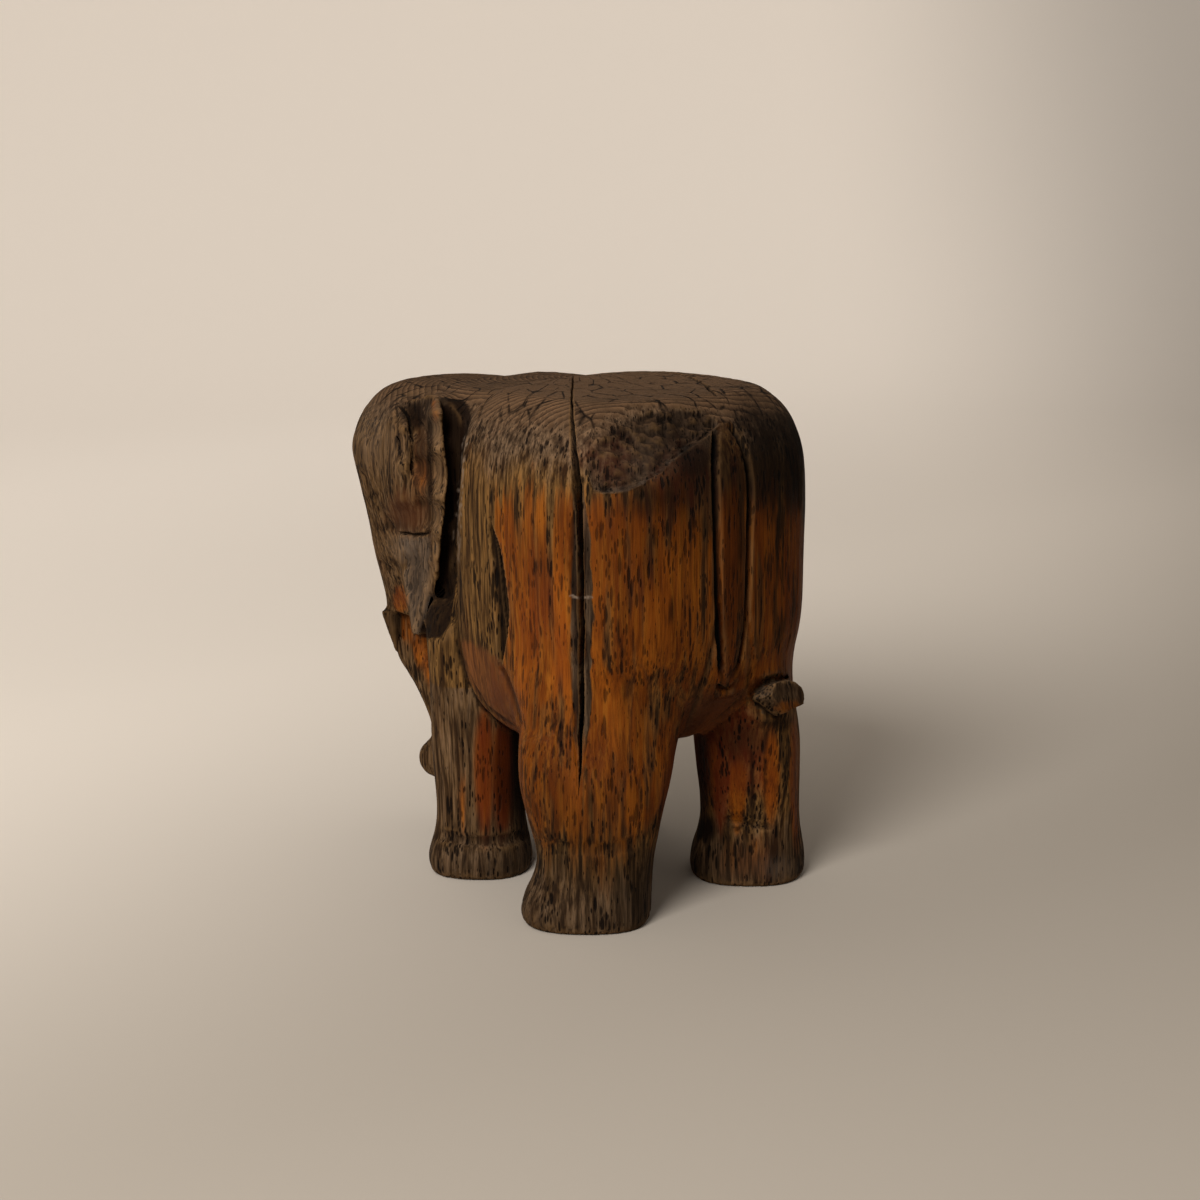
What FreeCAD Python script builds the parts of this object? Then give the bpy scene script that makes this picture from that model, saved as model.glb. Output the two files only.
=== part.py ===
import FreeCAD, Part
import math
import os

# Carved elephant stool, cut from one upright log, in millimetres.
# The head looks along -X, the left side is -Y and the seat is the flat top.
# Reaches are measured from the middle of the four feet, then the stool is centred on its bounds.

# Driving sizes of the log and the seat
stool_height = 420.0
barrel_back = 161.0
barrel_front = 80.0
barrel_half_width = 132.0
barrel_squareness = 3.0
seat_round_width = 46.0
seat_round_height = 74.0

# Driving sizes of the neck and chest behind the head
neck_front = 135.0
neck_back = 60.0
neck_half_width = 86.0
neck_height = 412.0
neck_round_width = 26.0
neck_round_height = 24.0

# Driving sizes of the head
head_front = 272.0
head_back = 96.0
head_half_width = 90.0
head_height = 405.0
head_bottom = 197.0
head_round_width = 51.0
head_round_height = 54.0

# Driving sizes of the trunk
trunk_front = 258.0
trunk_back = 165.0
trunk_half_width = 38.0
trunk_bottom = 41.0

# Driving sizes of the tusks
tusk_setback = 30.0
tusk_spread = 45.0
tusk_length = 42.0
tusk_top_radius = 8.5
tusk_tip_radius = 2.2
tusk_lean = 15.0
tusk_root = 12.0

# Driving sizes of the ears
ear_front = 152.0
ear_back = 66.0
ear_top = 405.0
ear_tip = 201.0
ear_spread = 121.0
ear_cup_floor = 84.0
ear_ledge = 286.0
ear_arch = 14.0

# Driving sizes of the legs and feet: reach and spread to the middle, half depth along the
# line to the middle of the log, half width across it
front_leg_reach = 77.0
front_leg_spread = 70.0
front_leg_depth = 38.0
front_leg_width = 39.0
front_leg_top = 280.0
hind_leg_reach = 88.0
hind_leg_spread = 86.0
hind_leg_depth = 43.0
hind_leg_width = 47.0
hind_leg_top = 290.0
leg_squareness = 2.5
leg_joint_level = 168.0

# Driving sizes of the tail and its tuft
tail_width = 20.0
tail_proud = 2.0
tail_groove = 4.0
tail_depth = 14.0
tail_top = 417.0
tail_bottom = 178.0
tuft_reach = 157.0
tuft_length = 76.0
tuft_height = 36.0
tuft_thickness = 31.0
tuft_level = 170.0
tuft_wrap = 3.0

# Driving sizes of the bruised bevel on the left rear shoulder
bevel_offset = 342.5
bevel_turn = -20.0
bevel_tilt = 56.0

overrun = 40.0

# Levels and reaches of the barrel below the rounded seat edge, bottom first:
# share of the height, of the back reach, of the front reach and of the half width
barrel_ring_shares = [
    (0.320, 0.56, -0.30, 0.66),
    (0.343, 0.71, 0.32, 0.82),
    (0.385, 0.83, 0.74, 0.915),
    (0.440, 0.93, 0.95, 0.955),
    (0.530, 0.99, 1.04, 0.980),
    (0.640, 1.00, 1.03, 0.995),
    (0.750, 1.00, 1.00, 1.000),
]

# Rings of the neck: share of the neck height, of the front reach and of the half width
neck_ring_shares = [
    (0.326, 0.55, 0.66),
    (0.367, 0.70, 0.90),
    (0.459, 0.82, 1.06),
    (0.663, 1.00, 1.02),
    (0.866, 1.00, 1.00),
]

# Head below its rounded crown: share of the height above the jaw, of the front reach,
# of the back reach and of the half width
head_ring_shares = [
    (0.00, 0.975, 1.40, 0.55),
    (0.16, 0.975, 1.25, 0.66),
    (0.36, 0.975, 1.05, 0.81),
    (0.54, 0.980, 1.00, 0.92),
    (0.71, 1.000, 1.00, 1.00),
]

# Trunk from its tip to the jaw: share of the head bottom level above the tip, of the front
# reach, of the back reach and of the half width
trunk_ring_shares = [
    (0.00, 0.885, 1.09, 0.52),
    (0.05, 0.920, 1.05, 0.66),
    (0.12, 0.925, 1.03, 0.70),
    (0.24, 0.845, 1.00, 0.70),
    (0.40, 0.845, 1.00, 0.76),
    (0.70, 0.985, 1.16, 0.92),
    (1.00, 1.020, 1.24, 1.00),
]

# Leg from the floor up: share of the leg top, shift backwards and outwards as shares of the
# half depth, then share of the half depth and of the half width
front_leg_shares = [
    (0.00, -0.02, 0.00, 1.09, 1.08),
    (0.07, -0.04, 0.00, 1.12, 1.12),
    (0.14, 0.00, 0.00, 1.01, 1.02),
    (0.26, 0.02, 0.00, 1.00, 1.00),
    (0.44, -0.02, 0.02, 1.03, 1.05),
    (0.70, 0.04, 0.08, 1.05, 1.12),
    (0.86, 0.10, -0.14, 1.00, 1.06),
    (1.00, 0.20, -0.72, 0.74, 0.84),
]
hind_leg_shares = [
    (0.00, -0.07, 0.10, 1.09, 1.07),
    (0.06, -0.08, 0.10, 1.12, 1.10),
    (0.15, 0.05, 0.03, 1.00, 1.00),
    (0.32, 0.06, 0.00, 1.01, 1.18),
    (0.47, 0.04, -0.08, 1.03, 1.34),
    (0.60, 0.00, -0.22, 1.02, 1.42),
    (0.78, -0.12, -0.54, 0.94, 1.24),
    (1.00, -0.40, -0.96, 0.70, 0.90),
]

# Ear outline seen from the side, from the front of the arch over the top and down the back
# to the lobe's tip: share of the ear length from back to front and of its height
ear_back_shares = [
    (1.00, 0.92),
    (0.62, 1.00),
    (0.16, 0.99),
    (-0.06, 0.90),
    (-0.06, 0.72),
    (0.02, 0.47),
    (0.20, 0.30),
    (0.38, 0.16),
    (0.58, 0.00),
]

# The rest of the ear outline, from the lobe's tip up its front edge
ear_lobe_shares = [
    (0.58, 0.00),
    (0.80, 0.16),
    (0.94, 0.38),
]

# Ear seen from above, from the cheek out to the rim: share of the length and of the spread
ear_outer_shares = [
    (1.02, 0.70),
    (0.70, 0.82),
    (0.30, 0.94),
    (0.07, 1.00),
]

# Ear seen from above, from the rim in behind the ear
ear_behind_shares = [
    (0.07, 1.00),
    (0.00, 0.97),
    (-0.03, 0.86),
    (-0.04, 0.66),
]

# Depth of the ear's root as a share of the spread
ear_root_share = 0.48

# Outline of the ear's hollow seen from the side: share of the ear length from back to front,
# and share of the rise from the ledge to the arch
ear_cup_shares = [
    (0.30, 0.04),
    (0.21, 0.30),
    (0.19, 0.62),
    (0.26, 0.90),
    (0.48, 1.02),
    (0.78, 0.94),
    (0.92, 0.64),
    (0.94, 0.30),
    (0.84, 0.04),
    (0.55, -0.02),
]
ear_cup_centre_share = 0.52
ear_cup_waist_share = 0.90
ear_cup_foot_share = 0.55

# Tuft cross sections from the tail to its tip: share of the length, of the thickness and height,
# and the rise of the middle as a share of the height
tuft_ring_shares = [
    (0.00, 0.42, 0.50, 0.10),
    (0.24, 0.72, 0.74, 0.04),
    (0.55, 1.00, 1.00, 0.00),
    (0.86, 0.78, 0.76, -0.06),
    (1.00, 0.34, 0.36, -0.10),
]


def ring(level, back, front, half_width, squareness, middle=0.0, turn=0.0, points=16):
    """Closed smooth outline, rounded like a squared ellipse, lying level."""
    centre = (back + front) / 2
    reach = (back - front) / 2
    power = 2 / squareness
    corners = []
    for step in range(points):
        angle = 2 * math.pi * step / points
        across = math.copysign(abs(math.cos(angle)) ** power, math.cos(angle))
        along = math.copysign(abs(math.sin(angle)) ** power, math.sin(angle))
        corners.append(FreeCAD.Vector(centre + reach * across, middle + half_width * along, level))
    curve = Part.BSplineCurve()
    curve.interpolate(Points=corners, PeriodicFlag=True, Parameters=list(range(points + 1)))
    edge = curve.toShape()
    edge.rotate(FreeCAD.Vector(centre, middle, level), FreeCAD.Vector(0, 0, 1), turn)
    return Part.Wire([edge])


def smooth_edge(corners):
    curve = Part.BSplineCurve()
    curve.interpolate(Points=corners)
    return curve.toShape()


def loft(wires, straight=False):
    return Part.makeLoft(wires, True, straight)


def crown(height, round_height, round_width, back, front, half_width, squareness):
    """Rings of a rounded top edge that runs into a flat top."""
    rings = []
    for angle in (25, 50, 70, 90):
        inset = round_width * (1 - math.cos(math.radians(angle)))
        level = height - round_height * (1 - math.sin(math.radians(angle)))
        rings.append(ring(level, back - inset, front + inset, half_width - inset, squareness))
    return rings


def barrel(proud=0.0):
    """Belly, flanks and rump of the log, with the flat seat on top."""
    rings = []
    for height_share, back_share, front_share, width_share in barrel_ring_shares:
        rings.append(ring(stool_height * height_share, barrel_back * back_share + proud,
                          -barrel_front * front_share - proud,
                          barrel_half_width * width_share + proud, barrel_squareness))
    rings += crown(stool_height, seat_round_height, seat_round_width, barrel_back + proud,
                   -barrel_front - proud, barrel_half_width + proud, barrel_squareness)
    return loft(rings)


def bevel():
    """Half space outside the bruised facet on the left rear shoulder."""
    size = 2 * stool_height
    block = Part.makeBox(size, size, size, FreeCAD.Vector(-stool_height, -stool_height, 0))
    block.rotate(FreeCAD.Vector(), FreeCAD.Vector(0, 1, 0), bevel_tilt)
    block.rotate(FreeCAD.Vector(), FreeCAD.Vector(0, 0, 1), bevel_turn)
    tilt = math.radians(bevel_tilt)
    turn = math.radians(bevel_turn)
    normal = FreeCAD.Vector(math.sin(tilt) * math.cos(turn), math.sin(tilt) * math.sin(turn), math.cos(tilt))
    block.translate(normal * bevel_offset)
    return block


def neck():
    """Neck and chest between the barrel and the head, which the ears stand on."""
    rings = []
    for height_share, front_share, width_share in neck_ring_shares:
        rings.append(ring(neck_height * height_share, neck_back, -(neck_front + overrun) * front_share,
                          neck_half_width * width_share, leg_squareness))
    rings += crown(neck_height, neck_round_height, neck_round_width, neck_back,
                   -neck_front - overrun, neck_half_width, leg_squareness)
    block = loft(rings)
    size = 2 * stool_height
    behind_head = Part.makeBox(size, size, size, FreeCAD.Vector(-neck_front, -stool_height, 0))
    return block.common(behind_head)


def slab(bottom):
    """Everything above a level."""
    size = 4 * stool_height
    return Part.makeBox(size, size, size, FreeCAD.Vector(-size / 2, -size / 2, bottom))


def tail_slot(half_width, bottom):
    """Upright box in the rump, from the slot's floor outwards."""
    floor = barrel_back - tail_depth
    return Part.makeBox(tail_depth + overrun, 2 * half_width, tail_top + overrun - bottom,
                        FreeCAD.Vector(floor, -half_width, bottom))


def body():
    shape = barrel().cut(bevel())
    shape = shape.fuse(neck())
    for side in (-1, 1):
        for make in (front_leg, hind_leg):
            shape = shape.fuse(make(side).common(slab(leg_joint_level)))
    return shape.cut(tail_slot(tail_width / 2 + tail_groove, tail_bottom))


def tail():
    """Strip left standing between two deep grooves down the rump."""
    strip = barrel(tail_proud).common(tail_slot(tail_width / 2, tail_bottom))
    return strip.cut(slab(tail_top))


def tuft():
    """Faceted bulb at the end of the tail, curled to the animal's right round the hip."""
    wires = []
    sides = 8
    for length_share, thick_share, height_share, rise_share in tuft_ring_shares:
        corners = []
        for step in range(sides + 1):
            angle = 2 * math.pi * (step % sides + 1 / 2) / sides
            out = tuft_thickness * thick_share * math.cos(angle) / 2
            up = tuft_height * (rise_share + height_share * math.sin(angle) / 2)
            corners.append(FreeCAD.Vector(tuft_reach - tuft_wrap * length_share ** 2 + out,
                                          tail_width / 2 + tuft_length * length_share, tuft_level + up))
        wires.append(Part.makePolygon(corners))
    return loft(wires, True)


def head():
    """Domed head from the neck plane to the jaw."""
    rings = []
    rise = head_height - head_bottom
    for height_share, front_share, back_share, width_share in head_ring_shares:
        rings.append(ring(head_bottom + rise * height_share, -head_back * back_share,
                          -head_front * front_share, head_half_width * width_share, leg_squareness))
    rings += crown(head_height, head_round_height, head_round_width, -head_back + overrun,
                   -head_front, head_half_width, leg_squareness)
    block = loft(rings)
    size = 2 * stool_height
    before_neck = Part.makeBox(size, size, size,
                               FreeCAD.Vector(-neck_front - size, -stool_height, 0))
    return block.common(before_neck)


def trunk():
    rings = []
    rise = head_bottom - trunk_bottom
    for height_share, front_share, back_share, width_share in trunk_ring_shares:
        rings.append(ring(trunk_bottom + rise * height_share, -trunk_back * back_share,
                          -trunk_front * front_share, trunk_half_width * width_share, leg_squareness))
    return loft(rings)


def tusk(side):
    """Short pointed tusk under the jaw, leaning back to its tip."""
    spread_per_length = (tusk_top_radius - tusk_tip_radius) / tusk_length
    cone = Part.makeCone(tusk_tip_radius, tusk_top_radius + spread_per_length * tusk_root,
                         tusk_length + tusk_root)
    cone.rotate(FreeCAD.Vector(0, 0, tusk_length), FreeCAD.Vector(0, 1, 0), -tusk_lean)
    reach = head_front * head_ring_shares[0][1] - tusk_setback
    cone.translate(FreeCAD.Vector(-reach, side * tusk_spread, head_bottom - tusk_length))
    return cone.cut(slab(head_bottom))


def leg(side, shares, reach, spread, depth, width, top):
    """Leg with its foot, from the floor up into the log, turned to face outwards."""
    turn = side * math.degrees(math.atan2(spread, reach))
    rings = []
    for height_share, back_shift, out_shift, depth_share, width_share in shares:
        centre = reach + depth * back_shift
        half = depth * depth_share
        rings.append(ring(top * height_share, centre + half, centre - half, width * width_share,
                          leg_squareness, side * (spread + depth * out_shift), turn))
    return loft(rings)


def front_leg(side):
    return leg(side, front_leg_shares, -front_leg_reach, front_leg_spread,
               front_leg_depth, front_leg_width, front_leg_top)


def hind_leg(side):
    return leg(side, hind_leg_shares, hind_leg_reach, hind_leg_spread,
               hind_leg_depth, hind_leg_width, hind_leg_top)


def ear_point(side, length_share, height=0.0, spread=0.0):
    length = ear_front - ear_back
    return FreeCAD.Vector(-ear_back - length * length_share, side * spread, height)


def ear(side):
    """Ear standing out from the neck, cupped in front, undercut behind, with a pointed lobe."""
    rise = ear_top - ear_tip
    back = [ear_point(side, along, ear_tip + rise * up) for along, up in ear_back_shares]
    lobe = [ear_point(side, along, ear_tip + rise * up) for along, up in ear_lobe_shares]
    outline = Part.Wire([smooth_edge(back), smooth_edge(lobe), Part.makeLine(lobe[-1], back[0])])
    flap = Part.Face(outline).extrude(FreeCAD.Vector(0, 2 * side * ear_spread, 0))
    outer = [ear_point(side, along, 0, ear_spread * out) for along, out in ear_outer_shares]
    behind = [ear_point(side, along, 0, ear_spread * out) for along, out in ear_behind_shares]
    roots = []
    for corner in (behind[-1], outer[0]):
        roots.append(FreeCAD.Vector(corner.x, side * ear_spread * ear_root_share, 0))
    plan = Part.Wire([smooth_edge(outer), smooth_edge(behind), Part.makeLine(behind[-1], roots[0]),
                      Part.makeLine(roots[0], roots[1]), Part.makeLine(roots[1], outer[0])])
    wedge = Part.Face(plan).extrude(FreeCAD.Vector(0, 0, stool_height))
    return flap.common(wedge).cut(ear_cup(side))


def ear_cup(side):
    """Spoon-shaped hollow of the ear, open outwards, shallow towards the cheek and flat at the lobe's ledge."""
    wires = []
    for size, depth in ((1.0, 0.0), (ear_cup_waist_share, 0.5), (ear_cup_foot_share, 1.0)):
        outline = []
        for along, up in ear_cup_shares:
            away = (along - ear_cup_centre_share) * size
            rise = (up * size + (1 - size) / 2) * (ear_top - ear_arch - ear_ledge)
            spread = ear_spread + (ear_cup_floor - ear_spread) * depth + overrun * (1 - depth) / 4
            outline.append(ear_point(side, ear_cup_centre_share + away, ear_ledge + rise, spread))
        curve = Part.BSplineCurve()
        curve.interpolate(Points=outline, PeriodicFlag=True, Parameters=list(range(len(outline) + 1)))
        wires.append(Part.Wire([curve.toShape()]))
    return loft(wires)


def build():
    torso = body()
    skull = head()
    nodes = {"body": torso, "head": skull, "trunk": trunk(), "tail": tail()}
    for name, side in (("left", -1), ("right", 1)):
        nodes[name + "_tusk"] = tusk(side)
        nodes[name + "_ear"] = ear(side).cut(torso).cut(skull)
        nodes["front_" + name + "_leg"] = front_leg(side).cut(slab(leg_joint_level)).cut(torso)
        nodes["hind_" + name + "_leg"] = hind_leg(side).cut(slab(leg_joint_level)).cut(torso)
    nodes["tail_tuft"] = tuft().cut(torso).cut(nodes["hind_right_leg"])
    return nodes


def main():
    os.makedirs("parts", exist_ok=True)
    nodes = build()
    bounds = Part.makeCompound(list(nodes.values())).optimalBoundingBox(False, False)
    shift = FreeCAD.Vector(-bounds.Center.x, -bounds.Center.y, -bounds.ZMin)
    print("bounds", bounds)
    for name, shape in nodes.items():
        shape.translate(shift)
        print(name, "solids", len(shape.Solids), "valid", shape.isValid(), "volume", round(shape.Volume))
        shape.exportStep("parts/" + name + ".step")


main()
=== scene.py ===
import math
from contextlib import contextmanager
from functools import reduce
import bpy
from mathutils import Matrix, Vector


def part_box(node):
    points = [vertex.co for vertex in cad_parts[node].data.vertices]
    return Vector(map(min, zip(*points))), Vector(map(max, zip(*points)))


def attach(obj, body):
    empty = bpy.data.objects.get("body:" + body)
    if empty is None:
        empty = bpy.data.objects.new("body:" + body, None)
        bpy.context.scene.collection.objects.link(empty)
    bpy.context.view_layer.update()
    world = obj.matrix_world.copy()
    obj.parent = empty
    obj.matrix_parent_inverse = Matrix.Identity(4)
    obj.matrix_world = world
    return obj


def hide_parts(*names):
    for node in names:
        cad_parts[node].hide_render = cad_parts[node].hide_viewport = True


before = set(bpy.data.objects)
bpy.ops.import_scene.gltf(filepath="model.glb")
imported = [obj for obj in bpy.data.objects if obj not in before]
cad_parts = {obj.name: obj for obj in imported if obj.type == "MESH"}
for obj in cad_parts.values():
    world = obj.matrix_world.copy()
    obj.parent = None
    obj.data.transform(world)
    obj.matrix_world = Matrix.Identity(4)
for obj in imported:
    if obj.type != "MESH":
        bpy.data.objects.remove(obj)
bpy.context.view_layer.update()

from types import SimpleNamespace
import bpy
import numpy as np
from mathutils import Matrix, Vector, noise
from mathutils.bvhtree import BVHTree

scene = bpy.context.scene
node_names = sorted(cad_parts)

# Places on the stool are in millimetres from the middle of its feet, with the head towards -x,
# or in pixels of a 1200 pixel picture taken from the camera, for what that side shows.
feet_middle = np.array([51.14, 0.0, 0.0])
eye = np.array([1605.8, -1394.9, 697.0])
turn, tilt, roll = math.radians(49.01), math.radians(12.24), math.radians(0.64)
ahead = np.array([-math.sin(turn) * math.cos(tilt), math.cos(turn) * math.cos(tilt), -math.sin(tilt)])
level = np.array([math.cos(turn), math.sin(turn), 0.0])
below = np.cross(ahead, level)
side_way = level * math.cos(roll) + below * math.sin(roll)
down_way = below * math.cos(roll) - level * math.sin(roll)
pixels_per_radian = 2600.0
picture_middle = 600
mm_per_m = 1000
weld = 1e-5


# Picking and plain mesh work

def pick(piece):
    bpy.ops.object.select_all(action='DESELECT')
    piece.select_set(True)
    bpy.context.view_layer.objects.active = piece


def apply_modifier(piece, kind, **settings):
    pick(piece)
    modifier = piece.modifiers.new("work", kind)
    for name, value in settings.items():
        setattr(modifier, name, value)
    bpy.ops.object.modifier_apply(modifier=modifier.name)


@contextmanager
def editing(piece, kind='VERT', choice='SELECT'):
    """Edit mode on one piece with all of it, or none, selected."""
    pick(piece)
    bpy.ops.object.mode_set(mode='EDIT')
    bpy.ops.mesh.select_mode(type=kind)
    bpy.ops.mesh.select_all(action=choice)
    yield
    bpy.ops.object.mode_set(mode='OBJECT')


def array_of(items, field, width, kind=np.float32):
    flat = np.empty(len(items) * width, kind)
    items.foreach_get(field, flat)
    return flat.reshape(-1, width)


def points_of(piece):
    return array_of(piece.data.vertices, "co", 3).astype(float) * mm_per_m - feet_middle


def normals_of(piece):
    return array_of(piece.data.vertex_normals, "vector", 3).astype(float)


def face_centres(piece):
    return array_of(piece.data.polygons, "center", 3).astype(float) * mm_per_m - feet_middle


def edges_of(piece):
    return array_of(piece.data.edges, "vertices", 2, np.int32)


def move_points(piece, points):
    places = ((points + feet_middle) / mm_per_m).astype(np.float32)
    piece.data.vertices.foreach_set("co", places.ravel())
    piece.data.update()


def paint(piece, name, values):
    layer = piece.data.attributes.get(name) or piece.data.attributes.new(name, 'FLOAT', 'POINT')
    layer.data.foreach_set("value", np.clip(values, 0, 1).astype(np.float32))


def select_faces(piece, chosen):
    with editing(piece, 'FACE', 'DESELECT'):
        pass
    piece.data.polygons.foreach_set("select", chosen)


def subdivide(piece, chosen):
    select_faces(piece, chosen)
    bpy.ops.object.mode_set(mode='EDIT')
    bpy.ops.mesh.subdivide(number_cuts=1, smoothness=0)
    bpy.ops.object.mode_set(mode='OBJECT')


# Soft steps, patches, lines and noise

def step(value, low, high):
    t = np.clip((value - low) / (high - low), 0, 1)
    return t * t * (3 - 2 * t)


def patch(points, centre, radii, soft=0.5):
    """1 inside an ellipse or ellipsoid, fading to 0 outside it."""
    reach = np.linalg.norm((points - np.array(centre)) / np.array(radii), axis=1)
    return 1 - step(reach, 1 - soft, 1 + soft)


def fade_ends(share, first, last):
    """1 along a line, fading to 0 over its first and last shares."""
    return step(share, 0, first) * (1 - step(share, 1 - last, 1))


def strongest(*values):
    return reduce(np.maximum, values)


def roughness_at(points, size, seed, octaves=3):
    """Noise from about -1 to 1 whose lumps are the given size along x, y and z."""
    spots = points / np.array(size) + np.array([seed * 7.3, seed * 3.1, seed * 5.7])
    return np.array([noise.fractal(spot, 1.0, 2.0, octaves) for spot in spots.tolist()])


def along(points, route):
    """Distance from each point to a line of straight runs, and the share of its length there."""
    route = np.array(route, float)
    lengths = np.linalg.norm(np.diff(route, axis=0), axis=1)
    before = np.concatenate([[0], np.cumsum(lengths)])
    best = np.full(len(points), 1e9)
    share = np.zeros(len(points))
    for start, end, length, passed in zip(route[:-1], route[1:], lengths, before):
        t = np.clip((points - start) @ (end - start) / length ** 2, 0, 1)
        gap = np.linalg.norm(points - start - t[:, None] * (end - start), axis=1)
        nearer = gap < best
        best = np.where(nearer, gap, best)
        share = np.where(nearer, (passed + t * length) / before[-1], share)
    return best, share


def line_mask(places, route, core, reach):
    """1 within the core distance of a line, fading to 0 at the reach."""
    gap, _ = along(places, route)
    return 1 - step(gap, core, reach)


def inside(spots, outline, soft):
    """1 inside a closed outline in the picture, fading to 0 over the soft width outside it."""
    outline = np.array(outline, float)
    closed = np.vstack([outline, outline[:1]])
    gap, _ = along(spots, closed)
    within = np.zeros(len(spots), bool)
    for (x0, y0), (x1, y1) in zip(closed[:-1], closed[1:]):
        if y0 == y1:
            continue
        crosses = (spots[:, 1] < y0) != (spots[:, 1] < y1)
        within ^= crosses & (spots[:, 0] < x0 + (spots[:, 1] - y0) * (x1 - x0) / (y1 - y0))
    return np.where(within, 1.0, 1 - step(gap, 0, soft))


def seen(points):
    """Where points show in the picture, in pixels, and the way from each to the camera."""
    reach = points - eye
    depth = reach @ ahead
    ways = np.stack([reach @ side_way, reach @ down_way], axis=1)
    spots = picture_middle + pixels_per_radian * ways / depth[:, None]
    return spots, -reach / np.linalg.norm(reach, axis=1)[:, None]


def both_sides(points):
    """The points as if all of them were on the left side, with y below zero."""
    return np.stack([points[:, 0], -np.abs(points[:, 1]), points[:, 2]], axis=1)


def surface_through(spots, controls):
    """A height at each spot from a list of (x, y, height), straight between near ones."""
    controls = np.array(controls, float)
    known = controls[:, :2]
    apart = np.linalg.norm(known[:, None] - known[None], axis=2)
    weights = np.linalg.solve(apart, controls[:, 2] - controls[:, 2].mean())
    heights = np.full(len(spots), controls[:, 2].mean())
    for place, weight in zip(known, weights):
        heights += weight * np.linalg.norm(spots - place, axis=1)
    return heights


def smoothed(points, edges, rounds):
    """The points after each has moved to the middle of its neighbours some times over."""
    count = np.bincount(edges.ravel(), minlength=len(points))[:, None]
    for _ in range(rounds):
        total = np.zeros_like(points)
        for axis in range(points.shape[1]):
            total[:, axis] = np.bincount(edges[:, 0], points[edges[:, 1], axis], len(points))
            total[:, axis] += np.bincount(edges[:, 1], points[edges[:, 0], axis], len(points))
        points = 0.5 * points + 0.5 * total / count
    return points


# The joined blank: all nodes of the part as one skin

def joined_blank(voxel, blocks):
    copies = list(blocks)
    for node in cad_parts.values():
        copy = node.copy()
        copy.data = node.data.copy()
        copy.parent = None
        for key in list(copy.keys()):
            del copy[key]
        scene.collection.objects.link(copy)
        copies.append(copy)
    bpy.ops.object.select_all(action='DESELECT')
    for copy in copies:
        copy.select_set(True)
    bpy.context.view_layer.objects.active = copies[0]
    bpy.ops.object.join()
    blank = bpy.context.view_layer.objects.active
    blank.name = "blank"
    blank.data.materials.clear()
    with editing(blank):
        bpy.ops.mesh.remove_doubles(threshold=weld)
    even_out(blank, voxel, 3)
    return blank


def even_out(blank, voxel, rounds):
    apply_modifier(blank, 'REMESH', mode='VOXEL', voxel_size=voxel, use_smooth_shade=True)
    apply_modifier(blank, 'SMOOTH', factor=0.5, iterations=rounds)


def node_tree(names, scale=1):
    """A search tree of the faces of these nodes, and the number of the node that owns each face."""
    corners, faces, owner = [], [], []
    for index, name in enumerate(names):
        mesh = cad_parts[name].data
        first = len(corners)
        corners.extend(v.co * scale for v in mesh.vertices)
        faces.extend([first + i for i in polygon.vertices] for polygon in mesh.polygons)
        owner.extend([index] * len(mesh.polygons))
    return BVHTree.FromPolygons(corners, faces), owner


def point_nodes(piece):
    """The index of the nearest node's name for each point."""
    tree, owner = node_tree(node_names)
    return np.array([owner[tree.find_nearest(v.co)[2]] for v in piece.data.vertices])


def of_nodes(owners, *names):
    return np.isin(owners, [node_names.index(name) for name in names])


def label_faces(blank):
    """Marks each face with the node whose surface is nearest."""
    tree, owner = node_tree(node_names)
    labels = np.array([owner[tree.find_nearest(polygon.center)[2]] for polygon in blank.data.polygons])
    labels = settle_labels(blank, labels)
    blank.data.materials.clear()
    for name in node_names:
        blank.data.materials.append(bpy.data.materials.get(name) or bpy.data.materials.new(name))
    blank.data.polygons.foreach_set("material_index", labels.astype(np.int32))
    layer = blank.data.attributes.new("node_index", 'INT', 'FACE')
    layer.data.foreach_set("value", labels.astype(np.int32))


def neighbour_faces(mesh):
    """Pairs of faces that share an edge."""
    loop_edge = array_of(mesh.loops, "edge_index", 1, np.int32)[:, 0]
    totals = array_of(mesh.polygons, "loop_total", 1, np.int32)[:, 0]
    loop_face = np.repeat(np.arange(len(totals)), totals)
    order = np.argsort(loop_edge, kind="stable")
    edge, face = loop_edge[order], loop_face[order]
    pair = np.nonzero(edge[1:] == edge[:-1])[0]
    return face[pair], face[pair + 1]


def islands(labels, left, right):
    """The number of the island of one label that each face lies in."""
    same = labels[left] == labels[right]
    first, second = left[same], right[same]
    island = np.arange(len(labels))
    while True:
        lowest = np.minimum(island[first], island[second])
        changed = island.copy()
        np.minimum.at(changed, first, lowest)
        np.minimum.at(changed, second, lowest)
        changed = changed[changed]
        if (changed == island).all():
            return island
        island = changed


def settle_labels(blank, labels, rounds=12, own_vote=1.5):
    """Gives each face its neighbours' label, and keeps only the largest island of each label."""
    left, right = neighbour_faces(blank.data)

    def vote(labels, own):
        votes = np.zeros((len(labels), len(node_names)))
        known = labels[right] >= 0
        np.add.at(votes, (left[known], labels[right][known]), 1)
        known = labels[left] >= 0
        np.add.at(votes, (right[known], labels[left][known]), 1)
        if own:
            votes[np.arange(len(labels)), labels] += own_vote
        return votes

    for _ in range(rounds):
        labels = vote(labels, True).argmax(axis=1)
    island = islands(labels, left, right)
    sizes = np.bincount(island, minlength=len(labels))
    for label in range(len(node_names)):
        mine = labels == label
        largest = np.argmax(sizes * mine) if mine.any() else 0
        labels[mine & (island != island[largest])] = -1
    while (labels < 0).any():
        votes = vote(labels, False)
        filled = (labels < 0) & (votes.max(axis=1) > 0)
        labels[filled] = votes[filled].argmax(axis=1)
    return labels


# The side of the head: temple, hollow, cheek and lobe, the same on both sides

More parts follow.
